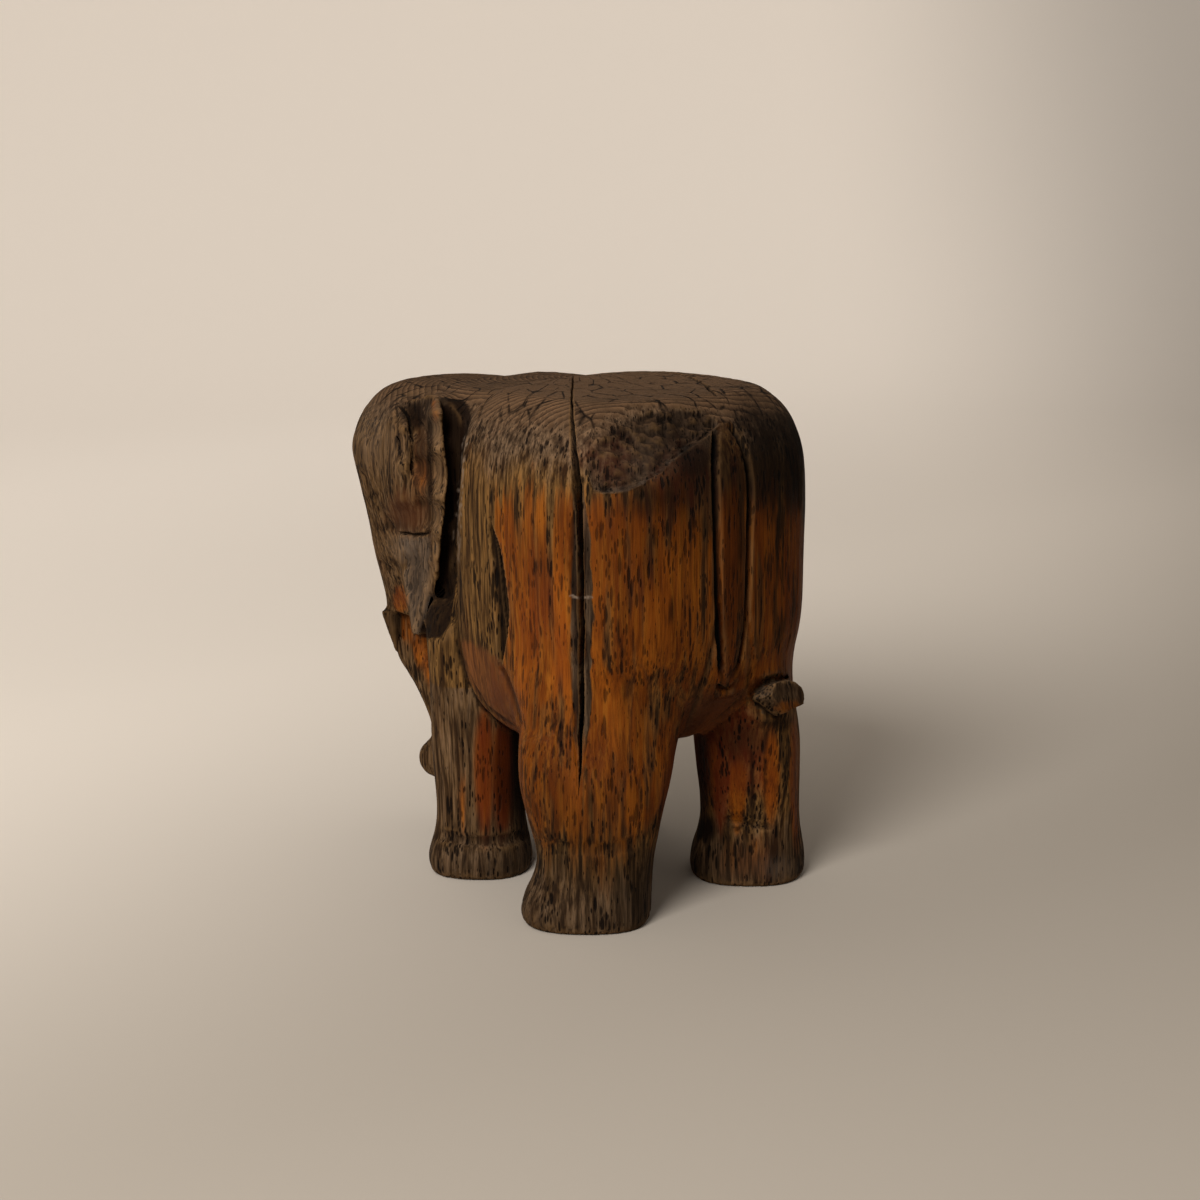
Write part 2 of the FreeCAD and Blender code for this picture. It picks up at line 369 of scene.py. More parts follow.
# Picture places with how far the wood stands out from the middle plane there, in millimetres.
temple_and_cheek = [
    (385, 405, 76), (400, 399, 72), (415, 397, 84), (430, 396, 96), (445, 402, 106),
    (385, 430, 88), (398, 430, 97), (407, 428, 96), (413, 428, 83), (420, 430, 79), (427, 430, 84),
    (396, 415, 90), (403, 416, 88), (410, 408, 78), (420, 408, 77), (428, 406, 92),
    (432, 412, 115), (442, 414, 112), (433, 450, 120), (445, 450, 114), (433, 499, 119), (446, 499, 113),
    (386, 470, 91), (400, 468, 100), (408, 466, 98), (413, 464, 88), (421, 466, 83), (428, 466, 86),
    (388, 505, 87), (400, 500, 99), (414, 502, 96), (424, 500, 90), (429, 502, 90),
    (394, 526, 79), (406, 524, 91), (420, 526, 91), (429, 526, 95), (433, 535, 117), (444, 530, 110)]
lobe = [
    (396, 536, 88), (405, 536, 85), (418, 535, 91), (428, 533, 102), (433, 533, 116), (445, 538, 109),
    (398, 560, 85), (406, 560, 80), (416, 560, 84), (425, 560, 95), (431, 560, 110), (440, 563, 105),
    (405, 588, 86), (412, 588, 84), (418, 588, 90), (424, 588, 101), (434, 592, 103),
    (410, 615, 95), (415, 615, 97), (421, 613, 102), (414, 640, 103)]
temple_outline = [
    (388, 404), (400, 400), (412, 397), (428, 395), (446, 402), (448, 450), (449, 499), (446, 541),
    (436, 541), (397, 533), (388, 505), (386, 470), (385, 430)]
lobe_outline = [
    (396, 534), (432, 532), (446, 520), (445, 541), (441, 565), (440, 582), (433, 598),
    (424, 618), (414, 641), (409.5, 615), (404, 588), (397, 560)]
slot_outline = [
    (440, 399), (463, 401), (469, 409), (470, 418), (468, 430), (465.5, 440), (464, 449), (462, 466),
    (461, 483), (460, 495), (457.6, 512), (456.4, 529), (455.3, 552), (456, 575), (453, 599),
    (434, 597), (438, 575), (440.4, 552), (443, 529), (445, 512), (446, 495), (448, 483),
    (447, 466), (445, 449), (443, 432), (442.7, 414)]
under_lobe_outline = [(429, 598), (452, 597), (449, 622), (440, 636), (424, 636), (418, 634)]
temple_filler = [
    (389, 406), (404, 400), (430, 398), (445, 404), (446, 450), (447, 499), (444, 534),
    (397, 534), (389, 505), (387, 470), (388, 430)]
lobe_filler = [
    (397, 534), (443, 534), (439, 565), (438, 580), (432, 597), (423, 617), (414, 639),
    (410.5, 615), (405, 588), (398, 560)]
filler_height, filler_back = 12, 52
slot_front, slot_back = 150, 92
deepest_cut, highest_lift, lift_limit = 45, 9, 14
recess_depth = 9


def rays_to(spots, stand_out):
    """Points on the left side that show at these places in the picture and stand out by this much."""
    spots = np.array(spots, float)
    sideways, downwards = (spots - picture_middle).T / pixels_per_radian
    ways = ahead + sideways[:, None] * side_way + downwards[:, None] * down_way
    return eye + ways * ((-np.asarray(stand_out, float) - eye[1]) / ways[:, 1])[:, None]


def prisms(name, outline, front, back):
    """A block on each side, seen end on as this outline, between two distances from the middle plane."""
    count = len(outline)
    corners = np.vstack([rays_to(outline, front), rays_to(outline, back)])
    other = corners * np.array([1, -1, 1])
    faces = [list(range(count)), list(range(2 * count - 1, count - 1, -1))]
    faces += [[i, count + i, count + (i + 1) % count, (i + 1) % count] for i in range(count)]
    faces += [[2 * count + i for i in face] for face in faces]
    mesh = bpy.data.meshes.new(name)
    mesh.from_pydata(((np.vstack([corners, other]) + feet_middle) / mm_per_m).tolist(), [], faces)
    block = bpy.data.objects.new(name, mesh)
    scene.collection.objects.link(block)
    with editing(block):
        bpy.ops.mesh.normals_make_consistent(inside=False)
    return block


def fillers():
    """Wood between the ear and the head that the carving then takes down to the temple, cheek and lobe."""
    blocks = []
    for name, outline, controls in (("temple", temple_filler, temple_and_cheek), ("lobe", lobe_filler, lobe)):
        front = surface_through(np.array(outline, float), controls) + filler_height
        blocks.append(prisms(name, outline, front, filler_back))
    return blocks


def cut_slot(blank):
    """Opens the slot between each ear and the neck."""
    block = prisms("slot", slot_outline, slot_front, slot_back)
    apply_modifier(blank, 'BOOLEAN', operation='DIFFERENCE', object=block, solver='FAST')
    bpy.data.objects.remove(block)


def move_seen(points, ways, amounts):
    """Moves points towards the camera, and those of the right side by the mirrored way."""
    shift = ways * amounts[:, None]
    shift[:, 1] *= np.where(points[:, 1] > 0, -1, 1)
    return points + shift


def facing(piece, points, ways):
    """How far each point faces the camera, from -1 to 1, as if it were on the left side."""
    normals = normals_of(piece)
    normals[:, 1] *= np.where(points[:, 1] > 0, -1, 1)
    return (normals * ways).sum(axis=1)


def shape_head_sides(blank):
    """Takes the wood down to temple, cheek and lobe, or a little out to them."""
    points = points_of(blank)
    near = of_nodes(point_nodes(blank), "head", "left_ear", "right_ear", "body")
    near &= (points[:, 0] < -35) & (np.abs(points[:, 1]) > 40) & (points[:, 2] > 170)
    spots, ways = seen(both_sides(points))
    turned = step(facing(blank, points, ways), 0.0, 0.15) * near
    off_slot = 1 - inside(spots, slot_outline, 1)
    for controls, outline, soft in ((temple_and_cheek, temple_outline, 6), (lobe, lobe_outline, 1.5)):
        left = both_sides(points)
        weight = inside(spots, outline, soft) * near
        amount = (-surface_through(spots, controls) - left[:, 1]) / ways[:, 1]
        outwards = np.clip(amount, 0, highest_lift) * turned * (amount < lift_limit) * off_slot
        points = move_seen(points, ways, weight * (np.clip(amount, -deepest_cut, 0) + outwards))
    recess = inside(spots, under_lobe_outline, 4) * turned
    points = move_seen(points, ways, -recess_depth * recess)
    move_points(blank, points)


# Hips and tuft

hip_outline = [(508, 640), (545, 640), (566, 670), (566, 712), (545, 735), (524, 728), (512, 700)]
rump_middle, rump_radii = (128, -82, 172), (78, 66, 40)
hip_rounds = 260
tuft_outline = [
    (753, 699), (757, 692), (773, 684), (790, 679), (797, 681), (806, 694), (808, 706), (797, 718),
    (783, 720), (768, 710)]
# Each flat of the tuft: its way by picture right, towards the camera and up, and the share it leaves.
tuft_faces = [
    ((-0.25, 0.75, 0.62), 0.6), ((0.05, 0.8, -0.6), 0.62), ((0.8, 0.6, 0.05), 0.66),
    ((0.1, -0.1, 1.0), 0.86), ((0.35, 0.2, -0.92), 0.84)]
picture_right = np.array([0.656, 0.755, 0])
to_camera = np.array([0.74, -0.64, 0.2])
up = np.array([0, 0, 1.0])
tuft_gap, tuft_reach = 0.8, 40


def ease_hips(blank):
    """Smooths the swell where each thigh leaves the flank."""
    points = points_of(blank)
    left = both_sides(points)
    spots, _ = seen(left)
    width = np.abs(points[:, 1])
    weight = inside(spots, hip_outline, 14) * step(points[:, 0], 0, 20) * (width > 70)
    rear = patch(left, rump_middle, rump_radii, 0.45) * step(width, 26, 44)
    weight = strongest(weight, 0.9 * rear * ~of_nodes(point_nodes(blank), "tail", "tail_tuft"))
    eased = smoothed(points, edges_of(blank), hip_rounds)
    move_points(blank, points + (eased - points) * weight[:, None])


def leg_depths(ways_in):
    """How far from the camera the body or a leg is met along each way, and whether it is."""
    tree, _ = node_tree(("body", "hind_right_leg", "tail"), mm_per_m)
    start = Vector(eye + feet_middle)
    hits = [tree.ray_cast(start, Vector(way))[3] for way in ways_in]
    return np.array([hit or 0.0 for hit in hits]), np.array([hit is not None for hit in hits])


def facet_tuft(blank):
    """Draws the tail's tuft in to its outline and cuts flat faces on it."""
    points = points_of(blank)
    on_tuft = of_nodes(point_nodes(blank), "tail_tuft")
    spots, ways = seen(points)
    outside = (1 - inside(spots, tuft_outline, 1.5)) * on_tuft
    chosen = np.nonzero(outside > 0)[0]
    depths, met = leg_depths(-ways[chosen])
    back = depths - np.linalg.norm(points[chosen] - eye, axis=1) - tuft_gap
    amount = np.where(met, np.clip(back, 0, tuft_reach), 0) * outside[chosen]
    points[chosen] -= ways[chosen] * amount[:, None]
    low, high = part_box("tail_tuft")
    middle = (np.array(low) + np.array(high)) / 2 * mm_per_m - feet_middle
    for way, share in tuft_faces:
        normal = way[0] * picture_right + way[1] * to_camera + way[2] * up
        normal /= np.linalg.norm(normal)
        heights = (points - middle) @ normal
        over = np.clip(heights - share * heights[on_tuft].max(), 0, None) * on_tuft
        points = points - normal * over[:, None]
    move_points(blank, points)


# Cracks and carved lines

# Rows of how far along the crack, half the width of its dark core, core depth,
# left margin width and depth, right margin width and depth.
flank_crack = np.array([
    (118, 0, 0, 1, 0, 1, 0),
    (140, 0.9, 7, 3, 0.8, 3, 0.8),
    (180, 1.6, 12, 7, 1.8, 8, 1.8),
    (250, 2.1, 15, 9, 2.4, 11, 2.2),
    (325, 2.2, 16, 9, 2.2, 10, 2),
    (345, 2.5, 15, 7, 1.8, 7, 1.6),
    (362, 3.0, 15, 4.5, 1.4, 5, 1.5),
    (380, 2.8, 14, 3.6, 1, 3.6, 1.2),
    (400, 1.9, 10, 2.4, 0.8, 2.4, 1),
    (440, 1.2, 7, 1.4, 0.5, 1.4, 0.5),
    (480, 0.7, 5, 0.5, 0.3, 0.5, 0.3),
    (560, 0.55, 4, 0.5, 0, 0.5, 0),
    (640, 0.45, 3, 0.5, 0, 0.5, 0),
    (690, 0, 0, 0.5, 0, 0.5, 0)], float)
crack_start = np.array([118, -125, 0])
crack_inward = np.array([-0.77, 0.64, 0.0])
crack_across = np.array([0.64, 0.77, 0.0])
crack_line = np.array([
    (118, -21.5), (190, -18.6), (272, -18.9), (335, -18.8), (365, -20), (394, -21.6), (440, -23.0),
    (500, -22), (560, -20.5), (640, -19), (700, -18)])
# Fine cracks over the seat, as places in three dimensions.
seat_cracks = [
    [(168, 3, 398), (158, 5, 412), (135, 11, 419), (110, 24, 420), (83, 44, 420), (37, 70, 420),
     (9, 79, 420), (-20, 84, 420)],
    [(-20, -112, 400), (-30, -90, 412), (-44, -62, 419), (-70, -25, 420), (-90, 0, 419)]]
shoulder_crack = [
    (489.5, 517), (490, 528), (493, 548), (496, 568), (498, 590), (500, 612), (503, 632), (503, 650),
    (499, 668)]
shoulder_wedge = [
    (489, 518), (493, 530), (499, 550), (504.5, 583), (508, 610), (506.5, 633), (501, 662), (499, 660),
    (497, 633), (495.5, 610), (493, 583), (490.5, 550), (488.5, 530)]
rim_strip = [
    (437, 396), (437.5, 430), (438, 470), (438, 510), (436, 545), (431, 575), (423, 602), (415, 632)]
belly_line = [(454, 600), (454, 619), (457.6, 652), (468.7, 682), (485, 708), (504, 722.5), (521, 734)]
thigh_line = [(498, 664), (504, 676), (511, 693), (516, 710), (521, 729)]
rear_line = [(723, 590), (719, 620), (713, 650), (703, 684), (693, 712), (683, 740)]
tail_left = [
    (717, 424), (715.5, 440), (715, 470), (716, 510), (717.5, 560), (719, 610), (721, 650), (722, 682)]
tail_right = [
    (747, 428), (746.5, 460), (747.5, 510), (749, 560), (750.5, 610), (751, 660), (751.5, 690), (753, 706)]
tail_end = [(720, 684), (732, 694), (745, 703), (753, 706.5)]
bruise_lip = [
    (594, 489), (604, 491), (626, 489), (643, 481.5), (652, 474), (660, 471.5), (668, 462), (676, 455),
    (684, 448), (693, 443.5), (709, 432), (717, 424)]
bruise_outline = [
    (594, 489), (604, 491), (626, 489), (643, 481.5), (660, 471), (676, 455), (693, 444), (709, 432),
    (717, 424), (706, 414), (680, 412), (655, 414), (632, 420), (612, 432), (596, 446), (589, 462),
    (590, 478)]
rim_lip = [(764, 409), (775, 416), (784, 426), (792, 438), (799, 452), (803, 470)]
temple_crease = [
    (396, 401), (400, 406), (408, 415.6), (410.5, 424), (411.7, 435), (411.7, 449), (412, 463), (413, 480)]
temple_check = [(396.7, 403), (396.7, 426), (399, 449), (402.5, 466), (403, 476)]
hollow_line = [(412, 418), (422, 424), (426.6, 434), (429, 449), (430.5, 470), (431.5, 500), (431, 528)]
ledge_line = [(395, 532.5), (405, 534), (414, 535.5), (424, 534), (431.5, 530)]
cheek_lines = [
    [(361, 470), (372, 492), (385, 516), (397, 534)],
    [(367, 496), (381, 513), (394, 532)],
    [(379, 560), (395, 572)]]
jaw_line = [(391, 588), (392, 612), (385, 612)]
front_ankle = [(432, 833), (455, 839), (480, 842), (505, 841), (535, 832)]
hind_ankle = [(524, 838), (540, 846), (570, 850), (610, 850), (650, 838)]
far_ankle = [(722, 819), (727, 823), (755, 830), (764, 829)]
far_ankle_top = [(722, 820), (755, 829), (764, 829)]
# Lines of the body and of the head: half width, depth, and for the head how dark the painted shade in them
# is.
body_lines = [(belly_line, 4.5, 2.6), (thigh_line, 4, 2.6), (rear_line, 3.5, 1.6)]
head_lines = [
    (temple_crease, 2.0, 3.5, 0.8), (temple_check, 1.4, 2, 0.7), (hollow_line, 2.2, 1.5, 0.3),
    (ledge_line, 2.4, 3.5, 0.7), (cheek_lines[0], 2.6, 1.6, 0.3), (cheek_lines[1], 2.2, 1.1, 0.3),
    (cheek_lines[2], 2.5, 1.2, 0.3), (jaw_line, 2, 1, 0.2)]
node_sets = {
    "body": ("body",),
    "tail": ("tail",),
    "tuft": ("tail_tuft",),
    "trunk": ("trunk",),
    "left_leg": ("hind_left_leg",),
    "right_leg": ("hind_right_leg",),
    "hind_legs": ("hind_left_leg", "hind_right_leg"),
    "front_legs": ("front_left_leg", "front_right_leg"),
    "tusks": ("left_tusk", "right_tusk"),
    "ears": ("left_ear", "right_ear"),
    "head": ("head", "left_ear", "right_ear"),
    "face": ("head", "trunk", "left_tusk", "right_tusk", "left_ear", "right_ear")}


def look_at(blank):
    """What carving and wear ask of each point: its place, its node and how the camera sees it."""
    site = SimpleNamespace(points=points_of(blank), normals=normals_of(blank))
    site.x, site.y, site.z = site.points.T
    site.width = np.abs(site.y)
    site.on_left = site.y < 0
    site.spots, ways = seen(both_sides(site.points))
    site.turned = step(facing(blank, site.points, ways), 0.0, 0.25)
    site.true_spots, true_ways = seen(site.points)
    site.true_facing = (site.normals * true_ways).sum(axis=1)
    site.shown = step(site.true_facing, 0.0, 0.25)
    owners = point_nodes(blank)
    for name, nodes in node_sets.items():
        setattr(site, name, of_nodes(owners, *nodes))
    return site


def crack_path(points):
    """How far along the flank crack each point lies, its way sideways, and 1 where the crack can be."""
    inward = (points - crack_start) @ crack_inward
    lift = points[:, 2]
    along_crack = lift + np.clip(inward, 0, None)
    across = points @ crack_across - np.interp(along_crack, crack_line[:, 0], crack_line[:, 1])
    wander = [0.8 * noise.fractal(Vector((s / 26, 3.7, 1.1)), 1.0, 2.0, 3) for s in along_crack.tolist()]
    here = (inward > -20) & (lift > 100) & ((inward < 45) | (lift > 396)) & (inward < 290)
    return along_crack, across + np.array(wander), here


def line_carve(spots, route, width, depth):
    """A groove along a line in the picture that thins out at its ends."""
    gap, share = along(spots, route)
    return depth * fade_ends(share, 0.12, 0.12) * (1 - step(gap, width * 0.3, width))


def refine(blank):
    """Finer faces where cracks, lips and grooves need them, in a wide band and then a narrow one."""
    for reach, narrow in ((12, 1.0), (4.5, 0.35)):
        centres = face_centres(blank)
        x, y = centres[:, 0], centres[:, 1]
        along_crack, across, here = crack_path(centres)
        margin = np.interp(along_crack, flank_crack[:, 0], flank_crack[:, 3:7:2].max(axis=1))
        chosen = here & (np.abs(across) < np.where(along_crack < 420, reach, reach * 0.5)) & (margin > 0.4)
        spots, _ = seen(both_sides(centres))
        zones = (
            ((y < 0) & (x > -60), ((shoulder_crack, 11), (bruise_lip, 7))),
            ((np.abs(y) > 60) & (x < -60), ((temple_crease, 6), (hollow_line, 5), (ledge_line, 6))),
            (x > 120, ((tail_left, 6), (tail_right, 6))))
        for zone, lines in zones:
            for route, wide in lines:
                gap, _ = along(spots, route)
                chosen |= zone & (gap < wide * narrow)
        for route in seat_cracks:
            gap, _ = along(centres, route)
            chosen |= gap < 5 * narrow
        subdivide(blank, chosen)


# Painted shade: black in the cores of cracks and dark in grooves and creases, where light does not reach.
def paint_crease_shade(marks, *values):
    marks["crack_shade"] = strongest(marks["crack_shade"], *values)


def leave_tool_marks(site, marks):
    """The maker's tool marks, broad and soft, and the ridges of the grain."""
    seat = step(site.normals[:, 2], 0.75, 0.95) * step(site.z, 380, 412)
    flank = 1 - seat
    site.down += 0.75 * roughness_at(site.points, (30, 30, 52), 1, 2) * (0.35 + 0.65 * flank)
    site.down += 0.38 * roughness_at(site.points, (6.5, 6.5, 90), 2, 2) * flank
    site.down += 0.30 * roughness_at(site.points, (7, 7, 7), 3, 2) * seat


def open_long_crack(site, marks):
    """The crack up the left flank and over the seat."""
    along_crack, across, here = crack_path(site.points)
    site.ragged = 1 + 0.25 * roughness_at(site.points, (5, 5, 16), 4, 2)
    half, deep, left_wide, left_deep, right_wide, right_deep = (
        np.interp(along_crack, flank_crack[:, 0], flank_crack[:, column]) for column in range(1, 7))
    wide = np.where(across < 0, left_wide, right_wide) * site.ragged
    margin_deep = np.where(across < 0, left_deep, right_deep)
    margin = (1 - step(np.abs(across), wide * 0.72, wide + 0.3)) * here
    core = (1 - step(np.abs(across), half * 0.55, half * 1.2 + 0.05)) * here * (half > 0.02)
    site.down += margin * margin_deep + core * deep
    # Painted shade: the crack's core is black.
    marks["crack_shade"] = core
    marks["margin"] = margin * (margin_deep > 1.2) * step(margin_deep, 0.8, 2.0)


def open_shoulder_crack(site, marks):
    here = (site.body | site.hind_legs | site.front_legs) * site.on_left * site.turned
    wedge = inside(site.spots, shoulder_wedge, 1.2) * here
    gap, share = along(site.spots, shoulder_crack)
    core = (1 - step(gap, 0.7, 1.8)) * here * fade_ends(share, 0.05, 0.1)
    site.down += 5.5 * wedge + 6 * core
    paint_crease_shade(marks, core, 0.35 * wedge * step(site.ragged, 0.7, 1.0))
    marks["wedge"] = wedge


def draw_body_lines(site, marks):
    """Lines between belly, shoulder, thigh and rear, on both sides."""
    here = (site.body | site.hind_legs | site.front_legs) * site.turned
    for route, width, deep in body_lines:
        groove = line_carve(site.spots, route, width, deep) * here
        site.down += groove
        paint_crease_shade(marks, 0.55 * (groove > 0.4) * step(groove, 0.8, 2.6))


def groove_beside_tail(site, marks):
    rear = (site.body | site.tail | site.hind_legs) & (site.x > 60) & (site.y < 60)
    for route in (tail_left, tail_right):
        gap, share = along(site.spots, route)
        groove = (1 - step(gap, 1.6, 4.2)) * fade_ends(share, 0.05, 0.07) * rear * site.turned
        site.down += 5.5 * groove
        paint_crease_shade(marks, groove)


def sink_below_tail(site, marks):
    """Takes the leg down below the tail's slanting end, so that the end stands over it."""
    across, downwards = site.spots.T
    edge = np.interp(across, *np.transpose(tail_end))
    below = (downwards > edge) * (downwards < 716) * (across > 717) * (across < 756)
    gap, _ = along(site.spots, tail_end)
    sunk = (1 - step(gap, 0.5, 9)) * below * site.turned * (site.x > 60)
    site.down += 5 * sunk * ~site.tuft
    marks["shade"] = 0.8 * sunk * (1 - step(gap, 1, 6))


def bruise_the_rim(site, marks):
    """The bruise under the edge of the seat with its lip, and the rim beyond the tail."""
    here = site.turned * site.on_left * (site.x > 90)
    bruise = inside(site.spots, bruise_outline, 3) * here
    gap, share = along(site.spots, bruise_lip)
    lip = (1 - step(gap, 1.2, 4.2)) * here * step(share, 0, 0.1) * (1 - 0.8 * step(share, 0.5, 0.85))
    dented = bruise * (0.4 + 0.6 * (1 - step(gap, 4, 26)))
    site.down += 3.2 * dented - 1.8 * lip * (1 + 0.5 * roughness_at(site.points, (8, 8, 8), 21, 2))
    site.down += bruise * 3.2 * roughness_at(site.points, (8, 8, 5.5), 5, 3)
    marks["bruise"] = strongest(bruise, lip)
    marks["lip"] = lip
    gap, share = along(site.spots, rim_lip)
    rim = (1 - step(gap, 0.8, 3)) * site.turned * (site.x > 60) * (site.y > 0) * site.body
    site.down -= 1.2 * rim * step(share, 0, 0.15)


def draw_head_lines(site, marks):
    """Creases, checks and the ledge over the lobe, with painted shade in them."""
    for route, width, deep, dark in head_lines:
        groove = line_carve(site.spots, route, width, deep) * site.head * site.turned * (site.width > 30)
        site.down += groove
        paint_crease_shade(marks, dark * step(groove, deep * 0.35, deep * 0.95))


def lobe_face_of(site):
    return inside(site.spots, lobe_outline, 2) * site.ears * site.turned * step(site.spots[:, 1], 534, 539)


def roughen_lobes(site, marks):
    site.down += 1.9 * lobe_face_of(site) * roughness_at(site.points, (9, 9, 12), 8, 3)


def open_seat_cracks(site, marks):
    for route in seat_cracks:
        gap, share = along(site.points, route)
        groove = (1 - step(gap, 0.7, 1.9)) * (1 - step(share, 0.85, 1)) * step(site.normals[:, 2], 0.1, 0.4)
        site.down += 2.8 * groove
        paint_crease_shade(marks, groove)


def cut_in_ankles(site, marks):
    outer = site.turned * (site.width > 20)
    site.down += line_carve(site.spots, front_ankle, 8, 2.4) * site.front_legs * outer
    site.down += line_carve(site.spots, hind_ankle, 10, 1.3) * site.left_leg * outer
    gap, share = along(site.true_spots, far_ankle)
    above = site.true_spots[:, 1] < np.interp(site.true_spots[:, 0], *np.transpose(far_ankle_top))
    ledge = step(share, 0, 0.1) * (1 - step(gap, 1, 12)) * site.right_leg * (site.y > 0) * above
    site.down += 2.6 * ledge * (site.true_facing > 0.1)


def spare_the_soles(site, marks):
    """Nothing moves the soles, and the rims of the feet are a little chipped."""
    chips = step(roughness_at(site.points, (5, 5, 8), 6, 2), 0.15, 0.5) * (1 - step(site.z, 5, 14))
    site.down = site.down * step(site.z, 1.5, 5) + 1.3 * chips * step(site.z, 0.8, 3)


def carve(blank):
    """Presses cracks, lines and rough wood into the skin by millimetres, and says where each mark is."""
    site = look_at(blank)
    site.down = np.zeros(len(site.points))
    marks = {}
    for work in (leave_tool_marks, open_long_crack, open_shoulder_crack, draw_body_lines, groove_beside_tail,
                 sink_below_tail, bruise_the_rim, draw_head_lines, roughen_lobes, open_seat_cracks,
                 cut_in_ankles, spare_the_soles):
        work(site, marks)
    move_points(blank, site.points - site.normals * site.down[:, None])
    return marks


# Colour, wear and painted light and shade, as values from 0 to 1 on the points of the skin

# Places of wear and of painted shade and highlight in the picture, by mark: strength, middle, half width and
# half height, softness.
# The pale patch by the bruise's lip is a painted highlight.
left_wear = {
    "red": [(0.5, 614, 461, 26, 24, 0.8), (0.6, 688, 478, 40, 36, 0.8), (0.3, 640, 520, 60, 22, 0.7),
            (0.5, 538, 600, 16, 60, 0.7), (0.4, 560, 650, 8, 50, 0.7), (0.35, 640, 580, 30, 40, 0.7)],
    "dark": [(0.8, 606, 487, 6, 4, 0.5), (0.75, 700, 470, 44, 48, 0.8), (0.7, 672, 490, 30, 20, 0.8),
             (0.35, 690, 520, 30, 46, 0.8), (0.8, 654, 537, 2.2, 13, 0.5), (0.7, 671, 608, 2.5, 14, 0.5),
             (0.8, 618, 634, 1.5, 17, 0.5), (0.75, 622, 655, 1.6, 18, 0.5), (0.7, 633, 642, 1.5, 14, 0.5),
             (0.55, 627, 690, 5, 16, 0.6), (0.7, 523, 655, 1.6, 7, 0.5), (0.5, 666, 700, 3, 22, 0.6),
             (0.4, 646, 705, 2, 18, 0.6), (0.6, 612, 760, 1.6, 14, 0.6), (0.5, 570, 760, 1.6, 16, 0.6),
             (0.55, 588, 800, 2, 16, 0.6), (0.97, 695, 462, 24, 24, 0.8)],
    "olive": [(0.5, 548, 560, 8, 60, 0.7), (0.45, 686, 600, 16, 90, 0.7), (0.4, 610, 600, 5, 90, 0.7),
              (0.4, 530, 530, 10, 30, 0.7), (0.5, 560, 720, 6, 60, 0.6), (0.5, 660, 690, 12, 50, 0.7),
              (0.5, 605, 800, 24, 40, 0.8)],
    "tone_and_shade": [(0.5, 655, 504, 46, 16, 0.8), (0.3, 645, 545, 60, 50, 0.9), (0.5, 585, 856, 62, 66, 0.9),
             (0.7, 632, 892, 26, 52, 0.9), (0.22, 530, 556, 18, 34, 0.8), (0.2, 655, 610, 26, 60, 0.9)],
    "dust_and_highlight": [(0.12, 640, 462, 26, 16, 0.9)]}
# The dark and tone patches along the leg's inner edge and in the ankle's groove are painted shade.
front_leg_wear = {
    "bare": [(0.8, 484, 768, 10, 62, 0.6), (0.5, 462, 800, 5, 30, 0.7), (0.8, 503, 770, 9, 60, 0.5)],
    "red": [(0.8, 484, 768, 8, 60, 0.6), (1, 503, 770, 10, 62, 0.5)],
    "dark": [(0.35, 486, 768, 8, 62, 0.6), (0.85, 521, 765, 12, 70, 0.6), (0.5, 500, 838, 24, 5, 0.6),
             (0.35, 462, 838, 30, 4, 0.6), (0.5, 512, 870, 14, 30, 0.8)],
    "tone_and_shade": [(0.6, 505, 770, 13, 68, 0.6), (0.35, 475, 870, 52, 36, 0.9)]}
# The dark band just under the tail's end and tuft is a painted shadow.
right_leg_wear = {
    "bare": [(0.95, 737, 792, 9, 38, 0.6), (0.9, 771, 772, 9, 46, 0.6), (0.9, 797, 780, 7, 70, 0.5),
             (0.6, 708, 765, 12, 46, 0.7), (0.45, 745, 862, 34, 26, 0.9)],
    "tone_and_shade": [(0.45, 728, 734, 32, 26, 0.9), (0.3, 713, 800, 14, 80, 0.9), (0.22, 742, 780, 14, 50, 0.8),
             (0.4, 716, 866, 22, 28, 0.9)],
    "red": [(1, 720, 785, 8, 44, 0.6), (0.2, 797, 780, 7, 70, 0.5), (0.4, 770, 772, 7, 46, 0.6)],
    "dark": [(0.75, 701, 775, 10, 50, 0.7), (1, 703, 828, 12, 14, 0.6), (0.7, 752, 785, 2.2, 60, 0.5),
             (0.7, 765, 760, 1.6, 60, 0.5), (0.5, 745, 740, 22, 26, 0.8), (0.5, 784, 760, 1.6, 34, 0.5),
             (0.5, 698, 872, 9, 20, 0.8), (0.7, 742, 827, 16, 2.4, 0.6), (0.6, 775, 722, 24, 8, 0.7)],
    "dust_and_highlight": [(0.25, 778, 868, 16, 10, 0.9)]}
# Most dark patches here are painted shade: in the hollow under the ear's arch, at the top of the slot, under
# the cheek's ledge, down the lobe's middle and in the temple's creases. The pale patches on the temple's
# bulge and the lobe's top are painted highlights.
head_wear = {
    "bare": [(0.9, 400, 600, 7, 13, 0.6), (0.45, 421, 476, 11, 18, 0.8), (0.75, 437, 408, 5, 14, 0.6)],
    "smooth": [(1, 408, 512, 20, 20, 0.6), (0.7, 421, 462, 7, 40, 0.7)],
    "red": [(0.3, 410, 508, 16, 16, 0.8)],
    "dark": [(0.5, 415, 572, 6, 40, 0.7), (0.95, 416, 414, 13, 15, 0.6), (0.6, 421, 445, 6, 26, 0.8),
             (0.4, 396, 526, 16, 5, 0.8), (0.1, 370, 420, 12, 20, 0.9), (0.75, 430, 455, 3.5, 75, 0.6),
             (0.5, 408, 446, 2, 30, 0.6), (0.5, 400, 446, 1.6, 26, 0.6), (0.9, 455, 430, 11, 24, 0.5)],
    "tone_and_shade": [(0.32, 409, 512, 19, 18, 0.7)],
    "dust_and_highlight": [(0.45, 408, 547, 14, 12, 0.9), (0.1, 392, 440, 10, 34, 0.9), (0.2, 371, 432, 16, 28, 0.9)]}
tuft_wear = {
    "bare": [(0.6, 788, 708, 16, 8, 0.6)],
    "dark": [(0.35, 770, 690, 16, 8, 0.8), (0.8, 757, 699, 5, 8, 0.7)]}

